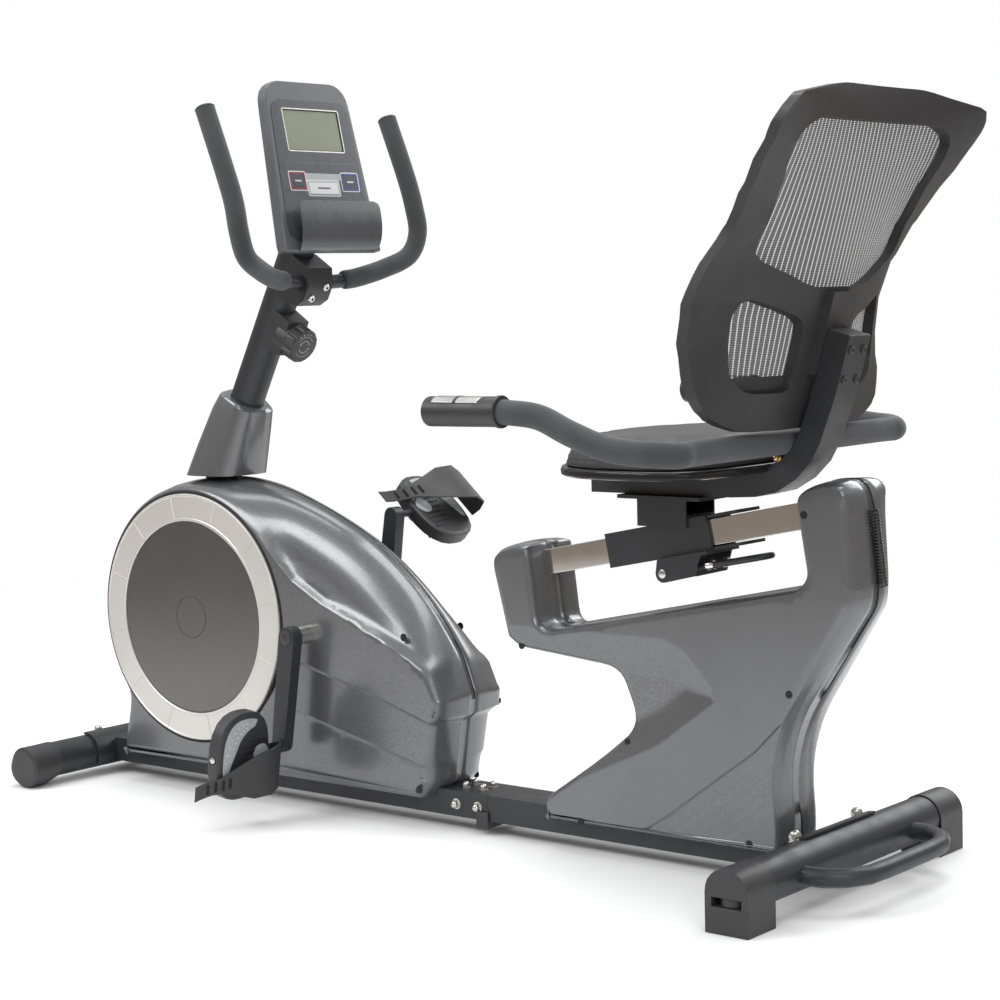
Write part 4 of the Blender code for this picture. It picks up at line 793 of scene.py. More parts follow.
def build_casings():
    crown_front = [(0.00015, 0.0), (0.013, 0.0), (0.026, 0.0), (0.037, 0.0011), (0.048, 0.0025),
                   (0.058, 0.0038),
                   (0.066, 0.0057), (0.0705, 0.0078), (0.0733, 0.0102), (0.0745, 0.0128)]
    crown_rear = [(0.00015, 0.0002), (0.020, 0.0006), (0.040, 0.0020), (0.0475, 0.0034), (0.0520, 0.0056),
                  (0.0543, 0.0078),
                  (0.0550, 0.0102)]
    front = front_corners()
    rear = rear_corners()
    steps = 3
    front_line = relaxed(eased_outline(front, steps), front, steps)
    front_arch = spread_shares([c[3] for c in front], steps)
    rear_line = relaxed(eased_outline(rear, steps), rear, steps)
    rear_arch = spread_shares([0.3 if c[0] > 0.04 and c[1] < 0.51 else 0.0 for c in rear], steps)
    for side, suffix in ((-1, "left"), (1, "right")):
        skin = casing_skin("casing_front_" + suffix, side, front_line, front_arch, crown_front,
                           front_relief, "grey_gloss",
                           CREASE_LINES.values())
        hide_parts("shroud_" + suffix)
        skin = casing_skin("casing_rear_" + suffix, side, rear_line, rear_arch, crown_rear, rear_relief,
                           "grey_gloss",
                           REAR_FACETS.values())
        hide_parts("rear_shroud_" + suffix)
        build_ring_and_disc(side, suffix)
        out = Vector((0, side, 0))
        for k, (x, z) in enumerate(((-0.707, 0.287), (-0.684, 0.060))):
            sunk = front_relief(x, z)
            screw_hole_shade(f"front_screw_{suffix}_{k}", P(x, side * (0.0745 - sunk + 0.0004), z), out,
                           "frame", 0.0058)
        holes = ((-0.494, 0.290), (-0.044, 0.262), (-0.309, 0.170), (-0.391, 0.048), (-0.112, 0.053),
                 (-0.018, 0.4985))
        for k, (x, z) in enumerate(holes):
            screw_hole_shade(f"rear_screw_{suffix}_{k}", P(x, side * (0.0552 - rear_relief(x, z)), z), out,
                           "frame")
    seam_lines()


def seam_lines():
    """The dark joint between the two halves of each casing."""
    for name, corners, span in (("front", front_corners(), (6, 17)), ("rear", rear_corners(), (1, 13))):
        outline = eased_outline(corners, 3)[span[0] * 4 : span[1] * 4]
        route = [P(x, 0, z) for x, z in outline]
        bm = bmesh.new()
        tube(bm, route, 0.0007, 8)
        piece("seam_" + name, bm, "shadow", "frame")


def build_ring_and_disc(side, suffix):
    centre = P(-1.153, side * 0.0748, 0.287)
    out = Vector((0, side, 0))
    profile = [(0, 0.1988), (0.0026, 0.1988), (0.0040, 0.1974), (0.0040, 0.1955), (0.0033, 0.1945),
               (0.0033, 0.1600),
               (0.0040, 0.1590), (0.0040, 0.1562), (0.0032, 0.1552), (0, 0.1552)]
    bm = bmesh.new()
    u, v = Vector((1, 0, 0)), Vector((0, 0, 1))
    rings = [ring_at(centre + out * y, u, v, radius, 128) for y, radius in profile]
    rings.append(rings[0])
    grid_faces(bm, rings, caps=False)
    ring = piece("trim_ring_" + suffix, bm, "silver", "frame", smooth=30)
    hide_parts("ring_" + suffix)
    bm = bmesh.new()
    for k in range(12):
        a = math.radians(30 * k + 11)
        along = u * math.cos(a) + v * math.sin(a)
        across = along.cross(out).normalized() * 0.0011
        start, end = centre + out * 0.0032 + along * 0.1592, centre + out * 0.0032 + along * 0.1954
        grid_faces(bm, [[p - across, p + across, p + across * 0.5 + out * 0.0010,
                         p - across * 0.5 + out * 0.0010]
                        for p in (start, end)])
    piece("ring_bars_" + suffix, bm, "silver", "frame", smooth=20)
    bm = bmesh.new()
    turned(bm, centre, out, [(0, 0.1546), (0.0008, 0.1546), (0.0020, 0.1530), (0.0022, 0.1500),
                             (0.0022, 0.0342),
                             (0.0014, 0.0338), (0.0014, 0.0331), (0.0022, 0.0327), (0.0022, 0.004)], 128)
    disc = piece("wheel_disc_" + suffix, bm, "disc_gloss", "frame", smooth=30)
    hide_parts("disc_" + suffix)
    # A thin dark band round the trim ring, painted as the shade in the groove between ring and casing.
    groove = bmesh.new()
    rings = [ring_at(centre + out * y, u, v, radius, 128) for y,
             radius in ((0.0004, 0.2035), (0.0006, 0.1992), (0.0001, 0.1992))]
    grid_faces(groove, rings, caps=False)
    bmesh.ops.recalc_face_normals(groove, faces=groove.faces)
    edge = piece("ring_groove_shade_" + suffix, groove, "shadow", "frame", weld=False)
    edge.modifiers.new("wall", "SOLIDIFY").thickness = 0.0004


# Everything else keeps its own shape with rounded edges
def build_plain():
    special = {"shroud_left", "shroud_right", "rear_shroud_left", "rear_shroud_right", "ring_left",
               "ring_right", "disc_left",
               "disc_right"} | DONE
    widths = {"mast_cover": 0.003, "seat_frame": 0.003, "slide_rail": 0.002, "front_frame": 0.002,
              "rear_frame": 0.002,
              "console_housing": 0.002, "latch_lever": 0.0005, "flywheel": 0.001}
    for node in frame["nodes"]:
        if node not in special:
            refined(node, SLOT_OF[node], bevel=widths.get(node, 0.0008))


# Places on the mast, the console and the pedals
def mast_axes():
    lean = math.radians(27.7)
    return Vector((math.sin(lean), 0, math.cos(lean))), Vector((math.cos(lean), 0, -math.sin(lean)))


def mast_point(along, out=0.0, y=0.0):
    up, forward = mast_axes()
    return P(-1.086, y, 0.633) + up * along + forward * out


FACE_LEAN = math.radians(11.7)
FACE_FALL = Vector((math.sin(FACE_LEAN), 0, -math.cos(FACE_LEAN)))
FACE_OUT = Vector((math.cos(FACE_LEAN), 0, math.sin(FACE_LEAN)))
FACE_TOP = P(-0.9283, 0, 1.0795)


def face_point(y, down, out=0.0):
    """A place on the console's face: across, down from the display's top, and out towards the rider."""
    return FACE_TOP + Vector((0, y, 0)) + FACE_FALL * down + FACE_OUT * out


def rounded_loop(left, right, top, foot, radius, steps=5):
    """(across, down) points round a rectangle with round corners."""
    loop = []
    for cy, cd, start in ((right - radius, top + radius, -90), (right - radius, foot - radius, 0),
                          (left + radius, foot - radius, 90), (left + radius, top + radius, 180)):
        for k in range(steps + 1):
            a = math.radians(start + 90 * k / steps)
            loop.append((cy + radius * math.cos(a), cd + radius * math.sin(a)))
    return loop


def face_frame(name, window, width, radius, span, look, body="frame", slot=None):
    """A flat frame round a window of the console's face."""
    left, right, top, foot = window
    bm = bmesh.new()
    outer = rounded_loop(left - width, right + width, top - width, foot + width, radius + width)
    inner = rounded_loop(left, right, top, foot, radius)
    rings = [[face_point(y, d, out) for y, d in loop] for loop, out in
             ((inner, span[0]), (outer, span[0]), (outer, span[1]), (inner, span[1]), (inner, span[0]))]
    grid_faces(bm, rings, caps=False)
    return piece(name, bm, look, body, slot=slot, smooth=30)


def face_plate(name, window, radius, span, look, body="frame", slot=None):
    bm = bmesh.new()
    loop = rounded_loop(*window, radius)
    grid_faces(bm, [[face_point(y, d, out) for y, d in loop] for out in span])
    return piece(name, bm, look, body, slot=slot, smooth=30, bevel=0.0003)


def face_panel():
    """The dark printed panel: a thin sheet round the display and the keys."""
    bm = bmesh.new()
    top, foot = -0.0140, 0.2050
    outer = [(y * (1 + 0.13 * (d - top) / (foot - top)), d) for y,
             d in rounded_loop(-0.0835, 0.0835, top, foot, 0.020)]
    display = rounded_loop(-0.0611, 0.0611, 0.0, 0.0652, 0.001, 1)
    keys = [rounded_loop(*window, 0.0010, 1) for window in
            ((-0.0711, -0.0369, 0.0990, 0.1262), (-0.0340, 0.0340, 0.1120, 0.1342),
             (0.0427, 0.0790, 0.0990, 0.1262))]
    points, edges = [], []
    for loop in (outer, display, *keys):
        first = len(points)
        points += [Vector(p) for p in loop]
        edges += [(first + k, first + (k + 1) % len(loop)) for k in range(len(loop))]
    found, _, faces, _, _, _ = delaunay_2d_cdt(points, edges, [], 1, 1e-6)
    holes = [Inside(loop) for loop in (display, *keys)]
    verts = [bm.verts.new(face_point(p.x, p.y, 0.0003)) for p in found]
    for face in faces:
        middle = sum((found[k] for k in face), Vector((0, 0))) / len(face)
        if not any(hole(middle.x, middle.y) for hole in holes):
            bm.faces.new([verts[k] for k in face])
    obj = piece("console_panel", bm, "dark_panel", "frame", smooth=30)
    obj.modifiers.new("wall", "SOLIDIFY").thickness = 0.0005
    soften(obj, 0.0001, 1, 30)


def build_console():
    refined("console_housing", "console_grey", bevel=0.003, segments=3)
    face_panel()
    face_frame("display_bezel", (-0.0606, 0.0606, 0.0005, 0.0647), 0.0018, 0.002, (-0.0006, 0.0011),
               "silver", slot="silver")
    face_frame("display_shadow", (-0.0596, 0.0596, 0.0015, 0.0637), 0.0012, 0.001, (-0.0010, 0.0002),
               "shadow",
               slot="black_plastic")
    face_plate("panel_line", (-0.0790, 0.0790, 0.0833, 0.0841), 0.0002, (0.0002, 0.0008), "grey_print",
               slot="silver")
    face_plate("key_bridge", (-0.0360, 0.0410, 0.1000, 0.1110), 0.001, (-0.0004, 0.0009), "grey_print",
               slot="silver")
    for node, window, look, print_look in (("key_set", (-0.0711, -0.0369, 0.0990, 0.1262), "key_dark",
                                            "red_print"),
                                           ("key_mode", (-0.0340, 0.0340, 0.1120, 0.1342), "key_light",
                                            "grey_print"),
                                           ("key_reset", (0.0427, 0.0790, 0.0990, 0.1262), "key_dark",
                                            "blue_print")):
        refined(node, look, bevel=0.0011, segments=3)
        face_frame(node + "_surround", window, 0.0018, 0.002, (0.0002, 0.0012), "key_light",
                   slot="key_light")
        left, right, top, foot = window
        rim = (left + 0.0022, right - 0.0022, top + 0.0022, foot - 0.0022)
        face_frame(node + "_rim", rim, 0.0010, 0.001, (0.0017, 0.0021), print_look, body=node,
                   slot=SLOT_OF[node])
        middle, half = (left + right) / 2, (right - left) * 0.20
        across = (top + foot) / 2
        mark = (middle - half, middle + half, across - 0.0011, across + 0.0011)
        face_plate(node + "_mark", mark, 0.0010, (0.0016, 0.0021), "key_light" if look == "key_dark"
                   else "key_dark",
                   body=node, slot=SLOT_OF[node])
    build_tray()


def build_tray():
    """The curved ledge: one bent sheet with rounded upper corners."""
    section = smooth_route([Vector((0.0020, 0.2215, 0)), Vector((0.0125, 0.2180, 0)),
                            Vector((0.0205, 0.2070, 0)),
                            Vector((0.0258, 0.1890, 0)), Vector((0.0275, 0.1700, 0)),
                            Vector((0.0270, 0.1495, 0))], 6)
    corner = 0.012
    bm = bmesh.new()
    rows = []
    last = section[-1]
    for k, p in enumerate(section):
        half = float(np.interp(k / (len(section) - 1), (0, 0.25, 0.6, 1), (0.0815, 0.0865, 0.0880, 0.0890)))
        left_over = p.y - last.y
        if p.x > 0.02 and left_over < corner:
            half -= corner - math.sqrt(max(0.0, corner ** 2 - (corner - left_over) ** 2))
        rows.append([face_point(half * s / 6, p.y, p.x) for s in range(-6, 7)])
    grid_faces(bm, rows, closed=False, caps=False)
    obj = piece("book_tray", bm, "rest_grey", "frame", smooth=60)
    wall = obj.modifiers.new("wall", "SOLIDIFY")
    wall.thickness = 0.0024
    wall.offset = 0
    soften(obj, 0.0006, 2, 50)
    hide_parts("media_rest")


def build_knob():
    _, forward = mast_axes()
    centre = mast_point(0.134, 0.055)
    u, v = axes_across(forward)
    bm = bmesh.new()
    ribs, count = 14, 168

    def ring(out, radius, depth):
        points = []
        for k in range(count):
            a = 2 * math.pi * k / count
            wave = smoothstep(math.cos(a * ribs), -0.35, 0.35)
            r = radius - depth * (1 - wave)
            points.append(centre + forward * out + (u * math.cos(a) + v * math.sin(a)) * r)
        return points

    grid_faces(bm, [ring(0.0003, 0.0275, 0), ring(0.0010, 0.0285, 0.0008), ring(0.0030, 0.0286, 0.0022),
                    ring(0.0175, 0.0284, 0.0022),
                    ring(0.0200, 0.0276, 0.0008), ring(0.0212, 0.0262, 0), ring(0.0215, 0.0245, 0)])
    knob = piece("knob_body", bm, "black_plastic", "tension_knob", smooth=32)
    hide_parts("tension_knob")
    face = centre + forward * 0.0216

    def arc_route(radius, first, last, steps=14):
        return [face + (u * math.cos(a) + v * math.sin(a)) * radius
                for a in (math.radians(first + (last - first) * k / steps) for k in range(steps + 1))]

    bm = bmesh.new()
    for radius, first, last, thick in ((0.0100, 20, 160, 0.0007), (0.0100, 200, 340, 0.0007),
                                       (0.0170, 30, 150, 0.0004),
                                       (0.0170, 210, 330, 0.0004)):
        tube(bm, arc_route(radius, first, last), thick, 8)
    for angle in (164, 344):
        tip = arc_route(0.0100, angle + 8, angle + 9, 1)[0]
        base = [arc_route(r, angle - 6, angle - 5, 1)[0] for r in (0.0078, 0.0122)]
        block(bm, [tip, *base], forward * 0.0006)
    for k in range(5):
        dot = arc_route(0.0215, 50 + 20 * k, 51 + 20 * k, 1)[0]
        turned(bm, dot, forward, [(-0.0002, 0.0006 + 0.0002 * k), (0.0004, 0.0005 + 0.0002 * k)], 12)
    piece("knob_marks", bm, "grey_print", "tension_knob", slot="silver", smooth=40)


# Tubes, grips and handles
def build_handlebar():
    half = [(-0.934, 0.0, 0.8165), (-0.9335, 0.050, 0.8168), (-0.9240, 0.092, 0.8225),
            (-0.9090, 0.1360, 0.8350),
            (-0.8930, 0.1800, 0.8550), (-0.8880, 0.1980, 0.8910), (-0.8960, 0.1990, 0.9360),
            (-0.9130, 0.2000, 0.9860),
            (-0.9482, 0.2000, 1.0739)]
    left = [P(x, -y, z) for x, y, z in half]
    right = [P(x, y, z) for x, y, z in half]
    bm = bmesh.new()
    tube(bm, smooth_route(left[::-1] + right[1:], 6), 0.011, 28)
    bar = piece("handlebar_tube", bm, "black_paint", "handlebar")
    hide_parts("handlebar")
    for points, suffix in ((left, "left"), (right, "right")):
        route = smooth_route([points[1] + (points[2] - points[1]) * 0.35, *points[2:]], 7)
        bm = bmesh.new()
        tube(bm, route, [0.0138] + [0.0150] * (len(route) - 1), 32)
        sleeve = piece("foam_sleeve_" + suffix, bm, "foam", "handlebar", bevel=0.0012)
        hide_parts("handlebar_grip_" + suffix)
        ahead = (route[-1] - route[-2]).normalized()
        bm = bmesh.new()
        turned(bm, route[-1] - ahead * 0.0012, ahead,
               [(0.0, 0.0140), (0.0010, 0.0152), (0.0026, 0.0151), (0.0048, 0.0125),
                                                       (0.0062, 0.0085), (0.0066, 0.0030)], 32)
        piece("sleeve_cap_" + suffix, bm, "black_plastic", "handlebar", smooth=60)


def build_seat_handle():
    x, z, y = -0.0690, 0.5890, 0.297
    arm = [(-0.316, y, 0.6410), (-0.259, y, 0.6355), (-0.211, y, 0.6165), (-0.162, y, 0.6000),
           (-0.120, y, 0.5935),
           (-0.088, y - 0.007, 0.5915)]
    half = arm + [(x + 0.002, y - 0.030, z), (x, y - 0.062, z), (x, 0.13, z), (x, 0.03, z)]
    left = [P(px, -py, pz) for px, py, pz in half]
    right = [P(px, py, pz) for px, py, pz in half[::-1]]
    bm = bmesh.new()
    tube(bm, smooth_route(left + right, 6), 0.0165, 36)
    handle = piece("seat_handle_foam", bm, "foam", "seat")
    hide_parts("seat_handle")
    for side, suffix in ((-1, "left"), (1, "right")):
        back = P(-0.3180, side * y, 0.6412)
        run = (back - P(-0.4430, side * y, 0.6402)).normalized()
        bm = bmesh.new()
        turned(bm, back - run * 0.0045, run,
               [(0, 0.0202), (0.0006, 0.0212), (0.0050, 0.0214), (0.0062, 0.0206), (0.0064, 0.0160)],
               40)
        piece("grip_collar_" + suffix, bm, "black_plastic", "seat", smooth=50)
        middle = P(-0.3860, side * y, 0.6407)
        bm = bmesh.new()
        u, v = Vector((0, 1, 0)), Vector((0, 0, 1))
        bands = []
        for at in (-0.0022, 0.0022):
            bands.append([middle + Vector((at, 0, 0)) + (u * math.cos(a) + v * math.sin(a)) * r
                          for r, order in ((0.0208, range(13)), (0.0196, range(12, -1, -1)))
                          for a in (math.radians(37 + 106 * k / 12) for k in order)])
        grid_faces(bm, bands)
        piece("plate_bridge_" + suffix, bm, "black_plastic", "seat", smooth=30)


# Seat
CUSHION_SPAN = (0.5600, 0.6020)


def cushion_ring(z, shrink, count=96):
    middle, half_long = (-0.374 - 0.090) / 2, (0.374 - 0.090) / 2
    points = []
    for k in range(count):
        a = 2 * math.pi * k / count
        c, s = math.cos(a), math.sin(a)
        power = 2.4 if c < 0 else 4
        grow = (abs(c) ** power + abs(s) ** power) ** (-1 / power)
        taper = 1 - 0.04 * max(0.0, -c * grow)
        points.append(P(middle + (half_long - shrink) * c * grow, (0.205 - shrink) * s * grow * taper, z))
    return points


def swell(obj, frames=20, most=0.007, floor=0.0):
    """Blows a closed pad up as cloth, then keeps each point within reach of where it began."""
    scene = bpy.context.scene
    remesh = obj.modifiers.new("remesh", "REMESH")
    remesh.mode = "VOXEL"
    remesh.voxel_size = 0.0055
    bake_modifiers(obj)
    start = np.array([v.co[:] for v in obj.data.vertices])
    low = start[:, 2] < floor
    pins = obj.vertex_groups.new(name="pins")
    pins.add([int(k) for k in np.nonzero(low)[0]], 1.0, "REPLACE")
    cloth = obj.modifiers.new("cloth", "CLOTH")
    cloth.settings.use_pressure = True
    cloth.settings.uniform_pressure_force = 4
    cloth.settings.vertex_group_mass = "pins"
    cloth.settings.effector_weights.gravity = 0
    cloth.settings.quality = 5
    cloth.settings.mass = 0.3
    cloth.point_cache.frame_end = frames
    for step in range(1, frames + 1):
        scene.frame_set(step)
    moved = obj.evaluated_get(bpy.context.evaluated_depsgraph_get()).data
    end = np.array([v.co[:] for v in moved.vertices])
    obj.modifiers.remove(cloth)
    shift = end - start
    reach = np.linalg.norm(shift, axis=1, keepdims=True)
    shift *= np.minimum(1, most / np.maximum(reach, 1e-9))
    for vertex, place in zip(obj.data.vertices, start + shift):
        vertex.co = place
    scene.frame_set(1)


def bake_modifiers(obj):
    mesh = bpy.data.meshes.new_from_object(obj.evaluated_get(bpy.context.evaluated_depsgraph_get()))
    obj.modifiers.clear()
    obj.data = mesh


def build_cushion():
    foot, top = CUSHION_SPAN
    bm = bmesh.new()
    rings = [cushion_ring(z, shrink) for z,
             shrink in ((foot, 0.006), (foot + 0.004, 0.0035), (foot + 0.014, 0.003),
                                                       (top - 0.016, 0.006), (top - 0.009, 0.014),
                                                       (top - 0.0065, 0.030))]
    grid_faces(bm, rings)
    pad = piece("cushion_pad", bm, "vinyl", "seat", smooth=60)
    swell(pad, floor=foot + 0.003)
    pad.data.shade_smooth()
    even = pad.modifiers.new("even", "SMOOTH")
    even.iterations = 6
    even.factor = 0.6
    fine = pad.modifiers.new("fine", "SUBSURF")
    fine.levels = fine.render_levels = 1
    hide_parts("seat_cushion")
    rim = bmesh.new()
    rings = [cushion_ring(z, shrink) for z,
             shrink in ((0.5478, 0.016), (0.5482, 0.004), (0.5505, 0.0), (0.5560, -0.0008),
                                                       (0.5600, 0.0008), (0.5612, 0.0030), (0.5606, 0.012))]
    grid_faces(rim, rings)
    piece("cushion_shell", rim, "shell_gloss", "seat", smooth=50)
    seam = bmesh.new()
    bpy.context.view_layer.update()
    skin = BVHTree.FromObject(pad, bpy.context.evaluated_depsgraph_get())
    route = [skin.find_nearest(p)[0] for p in cushion_ring(foot + 0.0175, 0.0012)]
    rings = []
    for k, p in enumerate(route):
        run = (route[(k + 1) % len(route)] - route[k - 1]).normalized()
        rings.append(ring_at(p, Vector((0, 0, 1)), run.cross(Vector((0, 0, 1))), 0.0011, 8))
    rings.append(rings[0])
    grid_faces(seam, rings, caps=False)
    piece("cushion_piping", seam, "vinyl", "seat", smooth=60)


def back_surface(y, z):
    """X of the backrest's front face, from the rear stabiliser."""
    heights = (0.600, 0.650, 0.700, 0.754, 0.800, 0.840, 0.900, 0.960, 1.020)
    middle = np.interp(z, heights, (-0.066, -0.050, -0.034, -0.018, -0.004, 0.008, 0.026, 0.043, 0.058))
    wrap = np.interp(z, heights, (-0.019, -0.031, -0.051, -0.0665, -0.068, -0.057, -0.027, 0.001, 0.022))
    return float(middle + wrap * (abs(y) / 0.22) ** 2)


def build_net():
    """The stretched net over the rider's side of the backrest."""
    half = [(0.055, 0.6180, 0.01), (0.134, 0.6190, 0.02), (0.188, 0.6350, 0.02), (0.214, 0.6620, 0.02),
            (0.222, 0.7050, 0.03),
            (0.218, 0.7900, 0.03), (0.205, 0.8700, 0.03), (0.236, 0.9860, 0.02), (0.226, 1.0110, 0.02),
            (0.100, 1.0310, 0.03)]
    outline = eased_outline([(-y, z, r) for y, z, r in reversed(half)] + half, 3)
    inside = Inside(outline)
    points = [Vector(p) for p in outline]
    count = len(points)
    edges = [(k, (k + 1) % count) for k in range(count)]
    cell = 0.012
    for i in range(-19, 20):
        for j in range(35):
            y, z = i * cell, 0.622 + j * cell
            if inside(y, z, cell * 0.4):
                points.append(Vector((y, z)))
    found, _, faces, _, _, _ = delaunay_2d_cdt(points, edges, [], 1, 1e-5)
    bm = bmesh.new()
    verts = [bm.verts.new(P(back_surface(p.x, p.y) - 0.0009, p.x, p.y)) for p in found]
    for face in faces:
        bm.faces.new([verts[k] for k in face])
    net = piece("back_net", bm, "mesh", "seat", smooth=60)
    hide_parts("backrest_mesh")
    lumbar = bmesh.new()
    rows = []
    for z, shift in ((0.648, 0.0030), (0.650, 0.0045), (0.676, 0.0045), (0.678, 0.0030)):
        rows.append([P(back_surface(y, z) + shift, y, z) for y in (0.182 * k / 16 for k in range(-16, 17))])
    grid_faces(lumbar, rows, closed=False, caps=False)
    strip = piece("lumbar_strip", lumbar, "black_plastic", "seat", smooth=60)
    strip.modifiers.new("wall", "SOLIDIFY").thickness = 0.0020


COIL_TURNS = 24
COIL_RADIUS = 0.0060
LEAD_THICK = 0.0027


def build_coil():
    """The curly pulse lead down the back of the rear casing, out at the top and back in at the foot."""
    line = smooth_route([P(0.0590, -0.0100, 0.5050), P(0.0610, -0.0030, 0.4550),
                         P(0.0630, 0.0040, 0.4050)], 12)
    turns, radius, thick, per_turn = COIL_TURNS, COIL_RADIUS, LEAD_THICK, 16
    total = turns * per_turn
    run = (line[-1] - line[0]).normalized()
    u, v = axes_across(run)
    points = []
    for k in range(total + 1):
        t = k / total * (len(line) - 1)
        low = min(int(t), len(line) - 2)
        centre = line[low].lerp(line[low + 1], t - low)
        a = 2 * math.pi * k / per_turn + math.pi
        points.append(centre + (u * math.cos(a) + v * math.sin(a)) * radius)
    data = bpy.data.curves.new("pulse_lead", "CURVE")
    data.dimensions = "3D"
    data.bevel_depth = thick / 2
    data.bevel_resolution = 3
    data.use_fill_caps = True
    spline = data.splines.new("POLY")
    spline.points.add(len(points) - 1)
    for target, place in zip(spline.points, points):
        target.co = (*place, 1)
    data.materials.append(LOOKS["cord"])
    lead = bpy.data.objects.new("pulse_lead", data)
    bpy.context.scene.collection.objects.link(lead)
    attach(lead, "frame")
    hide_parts("pulse_cord_coil")


# Pedals
CRANK_AXIS = (-0.900, 0.2787)
CRANK_FACE = 0.118  # how far out the arms' outer faces lie
PEDAL_TILT = {-1: math.radians(8.66), 1: math.radians(-48)}
PEDAL_AXIS = {-1: (-0.925597, 0.110638), 1: (-0.874403, 0.446762)}


def pedal_place(side, along, y, out):
    tilt = PEDAL_TILT[side]
    run = Vector((math.sin(tilt), 0, math.cos(tilt)))
    rise = Vector((run.z, 0, -run.x))
    x, z = PEDAL_AXIS[side]
    return P(x, side * (CRANK_FACE + y), z) + run * along + rise * out


def pedal_rim(angle, shrink):
    c, s = math.cos(angle), math.sin(angle)
    grow = (abs(c) ** 2.6 + abs(s) ** 2.6) ** (-1 / 2.6)
    return (0.0680 - shrink) * c * grow, 0.0835 + (0.0535 - shrink) * s * grow


def build_pedals():
    for side, suffix in ((-1, "left"), (1, "right")):
        body = "pedal_" + suffix
        refined(body, "black_plastic", bevel=0.0012)
        refined("pedal_strap_" + suffix, "strap", bevel=0.0005)
        for face in (1, -1):
            tag = f"{suffix}_{'front' if face > 0 else 'back'}"
            bm = bmesh.new()
            steps = 22
            outer, inner = [], []
            for k in range(steps + 1):
                t = k / steps
                angle = math.radians(-28 + 150 * t)
                depth = 0.004 + 0.024 * math.sin(math.pi * min(1.0, t * 0.94 + 0.05)) ** 0.7
                outer.append(pedal_rim(angle, 0.0095))
                inner.append(pedal_rim(angle, 0.0095 + depth))
            loop = outer + inner[::-1]
            grid_faces(bm, [[pedal_place(side, a, y, face * out) for a, y in loop]
                            for out in (0.0118, 0.0143)])
            piece("pedal_insert_" + tag, bm, "pale_insert", body, smooth=30, bevel=0.0004)
            bm = bmesh.new()
            for k in range(4, steps - 2, 2):
                for mix in (0.35, 0.68):
                    a = outer[k][0] * (1 - mix) + inner[k][0] * mix
                    y = outer[k][1] * (1 - mix) + inner[k][1] * mix
                    out = pedal_place(side, 0, 0, face) - pedal_place(side, 0, 0, 0)
                    turned(bm, pedal_place(side, a, y, face * 0.0140), out,
                           [(0, 0.0016), (0.0008, 0.0014), (0.0011, 0.0006)], 10)
            piece("pedal_studs_" + tag, bm, "silver", body, smooth=50)
            bm = bmesh.new()
            for k in range(10):
                a = -0.044 + 0.0098 * k
                start, end = 0.044, 0.088 - 0.0004 * abs(k - 4) ** 2
                corners = [(a - 0.0022, start), (a + 0.0022, start), (a + 0.0052, end), (a + 0.0012, end)]
                grid_faces(bm, [[pedal_place(side, p, y, face * out) for p, y in corners]
                                for out in (0.0115, 0.0142)])
            piece("pedal_ribs_" + tag, bm, "strap", body, slot="black_plastic", smooth=30, bevel=0.0004)
            bm = bmesh.new()
            turned(bm, pedal_place(side, 0.0, 0.0500, face * 0.0118),
                   pedal_place(side, 0, 0, face) - pedal_place(side, 0, 0, 0),
                   [(0, 0.0150), (0.0026, 0.0150), (0.0032, 0.0140)], 36)
            piece("pedal_disc_" + tag, bm, "pale_insert", body, smooth=40)
        bm = bmesh.new()
        turned(bm, pedal_place(side, 0, 0.1362, 0), Vector((0, side, 0)),
               [(0, 0.0052), (0.0014, 0.0050), (0.0022, 0.0030)], 20)
        piece("spindle_cap_" + suffix, bm, "steel", body, smooth=50)
        build_strap_slots(side, suffix, body)
        build_crank_caps(side, suffix)


def build_strap_slots(side, suffix, body):
    """Dark boxes along the strap's tail, painted as the shade in its slots."""
    route = [(0.1190, -0.0335, 0.0222), (0.1290, -0.0358, 0.0180), (0.1380, -0.0385, 0.0115),
             (0.1480, -0.0425, 0.0048)]
    bm = bmesh.new()
    for y, along, out in route:
        if side > 0:
            y, along, out = 0.1670 - y, -1.5 * along - 0.030, out * 1.4
        step = 0.0017
        corners = [(along - 0.0075, y - step), (along + 0.0075, y - step), (along + 0.0075, y + step),
                   (along - 0.0075, y + step)]
        grid_faces(bm, [[pedal_place(side, a, b, out + o) for a, b in corners] for o in (-0.0022, 0.0022)])
    piece("strap_slot_shade_" + suffix, bm, "shadow", body, smooth=30)


def build_crank_caps(side, suffix):
    out = Vector((0, side, 0))
    axis = P(CRANK_AXIS[0], side * CRANK_FACE, CRANK_AXIS[1])
    x, z = PEDAL_AXIS[side]
    for name, centre, radius in (("axle", axis, 0.0115), ("pedal", P(x, side * CRANK_FACE, z), 0.0095)):
        bm = bmesh.new()
        turned(bm, centre, out, [(0, radius), (0.0012, radius), (0.0018, radius * 0.9),
                                 (0.0018, radius * 0.35),
                                 (0.0008, radius * 0.30)], 32)
        piece(f"crank_cap_{name}_{suffix}", bm, "black_plastic", "crankset", smooth=40)


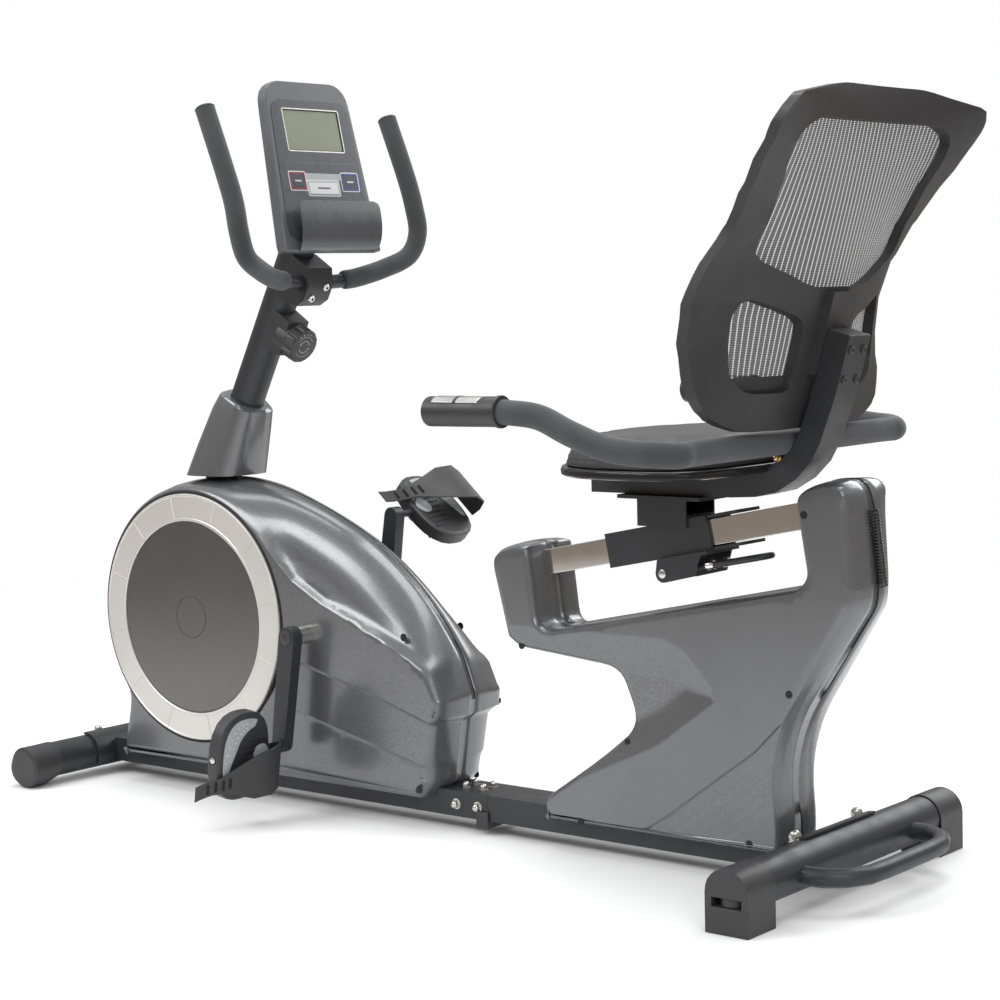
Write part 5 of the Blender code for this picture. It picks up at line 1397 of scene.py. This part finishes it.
# Fasteners in their places
def build_fasteners():
    zinc = bmesh.new()
    for x, y in ((-0.6390, 0.012), (-0.6050, 0.012), (-0.6390, -0.012), (-0.6050, -0.012)):
        acorn_nut(zinc, P(x, y, 0.0592), Vector((0, 0, 1)), 0.0050)
    for side in (-1, 1):
        for x in (-0.6360, -0.5950):
            acorn_nut(zinc, P(x, side * 0.0370, 0.0395), Vector((0, side, 0)), 0.0055)
        acorn_nut(zinc, P(-0.0213, side * 0.0780, 0.0765), Vector((-0.35, 0, 1)), 0.0075)
        acorn_nut(zinc, P(-1.4300, side * 0.0440, 0.0665), Vector((-0.1, 0, 1)), 0.0062)
    for side in (-1, 1):
        turned(zinc, P(-0.252, side * 0.0400, 0.4065), Vector((0, side, 0)),
               [(0, 0.0062), (0.0022, 0.0060), (0.0030, 0.0040)], 24)
    piece("zinc_nuts", zinc, "steel", "frame", smooth=35)
    clamp = bmesh.new()
    socket_shade = bmesh.new()
    out = mast_axes()[1]
    reach = (P(-0.934, 0, 0.8165) - P(-1.086, 0, 0.633)).dot(out)
    for along, y in ((0.2335, 0.012), (0.2145, -0.012)):
        place = mast_point(along, reach + 0.0188, y)
        top = socket_bolt(clamp, place, out, 0.0062)
        # A dark hexagon on each bolt head, painted as the shade inside its socket.
        turned(socket_shade, top - out * 0.0003, out, [(0, 0.0026), (0.0005, 0.0026)], 6)
    piece("clamp_bolts", clamp, "steel", "frame", smooth=35)
    piece("clamp_socket_shade", socket_shade, "shadow", "frame", smooth=35)
    dark = bmesh.new()
    socket_shade = bmesh.new()
    start, end = P(0.0010, 0, 0.6660), P(0.0200, 0, 0.7310)
    run = (end - start).normalized()
    normal = Vector((run.z, 0, -run.x))
    for t in (0.010, 0.050):
        for y in (-0.0155, 0.0155):
            top = socket_bolt(dark, start + run * t + normal * 0.0170 + Vector((0, y, 0)), normal, 0.0056)
            # A dark hexagon on each bolt head, painted as the shade inside its socket.
            turned(socket_shade, top - normal * 0.0003, normal, [(0, 0.0024), (0.0005, 0.0024)], 6)
    piece("upright_bolts", dark, "black_plastic", "seat", smooth=35)
    piece("upright_socket_shade", socket_shade, "shadow", "seat", smooth=35)
    cap = bmesh.new()
    corners = [end + normal * a + Vector((0, b, 0)) for a,
               b in ((-0.0165, -0.0260), (0.0165, -0.0260), (0.0165, 0.0260), (-0.0165, 0.0260))]
    block(cap, [c - run * 0.0020 for c in corners], run * 0.0035)
    piece("upright_cap", cap, "black_plastic", "seat", smooth=30, bevel=0.0010)
    brass = bmesh.new()
    for side in (-1, 1):
        acorn_nut(brass, P(-0.0742, side * 0.0268, 0.5690), Vector((0, side, 0)), 0.0042)
    piece("bracket_bolts", brass, "brass", "seat", smooth=35)
    collar = bmesh.new()
    slope = Vector((math.cos(math.radians(11.2)), 0, math.sin(math.radians(11.2))))
    for y in (-0.028, 0.008):
        turned(collar, P(-0.1870, y, 0.4205), slope,
               [(0, 0.0058), (0.0005, 0.0064), (0.0110, 0.0064), (0.0120, 0.0056)], 28)
    piece("lever_collars", collar, "chrome", "latch", smooth=40)


DONE = {"console_housing", "media_rest", "key_set", "key_mode", "key_reset", "tension_knob", "handlebar",
        "handlebar_grip_left", "handlebar_grip_right", "seat_handle", "seat_cushion", "backrest_mesh",
        "pulse_cord_coil", "pedal_left", "pedal_right", "pedal_strap_left", "pedal_strap_right"}
LOOKS = make_looks()
camera_and_light()
build_floor()
build_casings()
build_console()
build_knob()
build_handlebar()
build_seat_handle()
build_cushion()
build_plain()
build_net()
build_coil()
build_pedals()
build_fasteners()
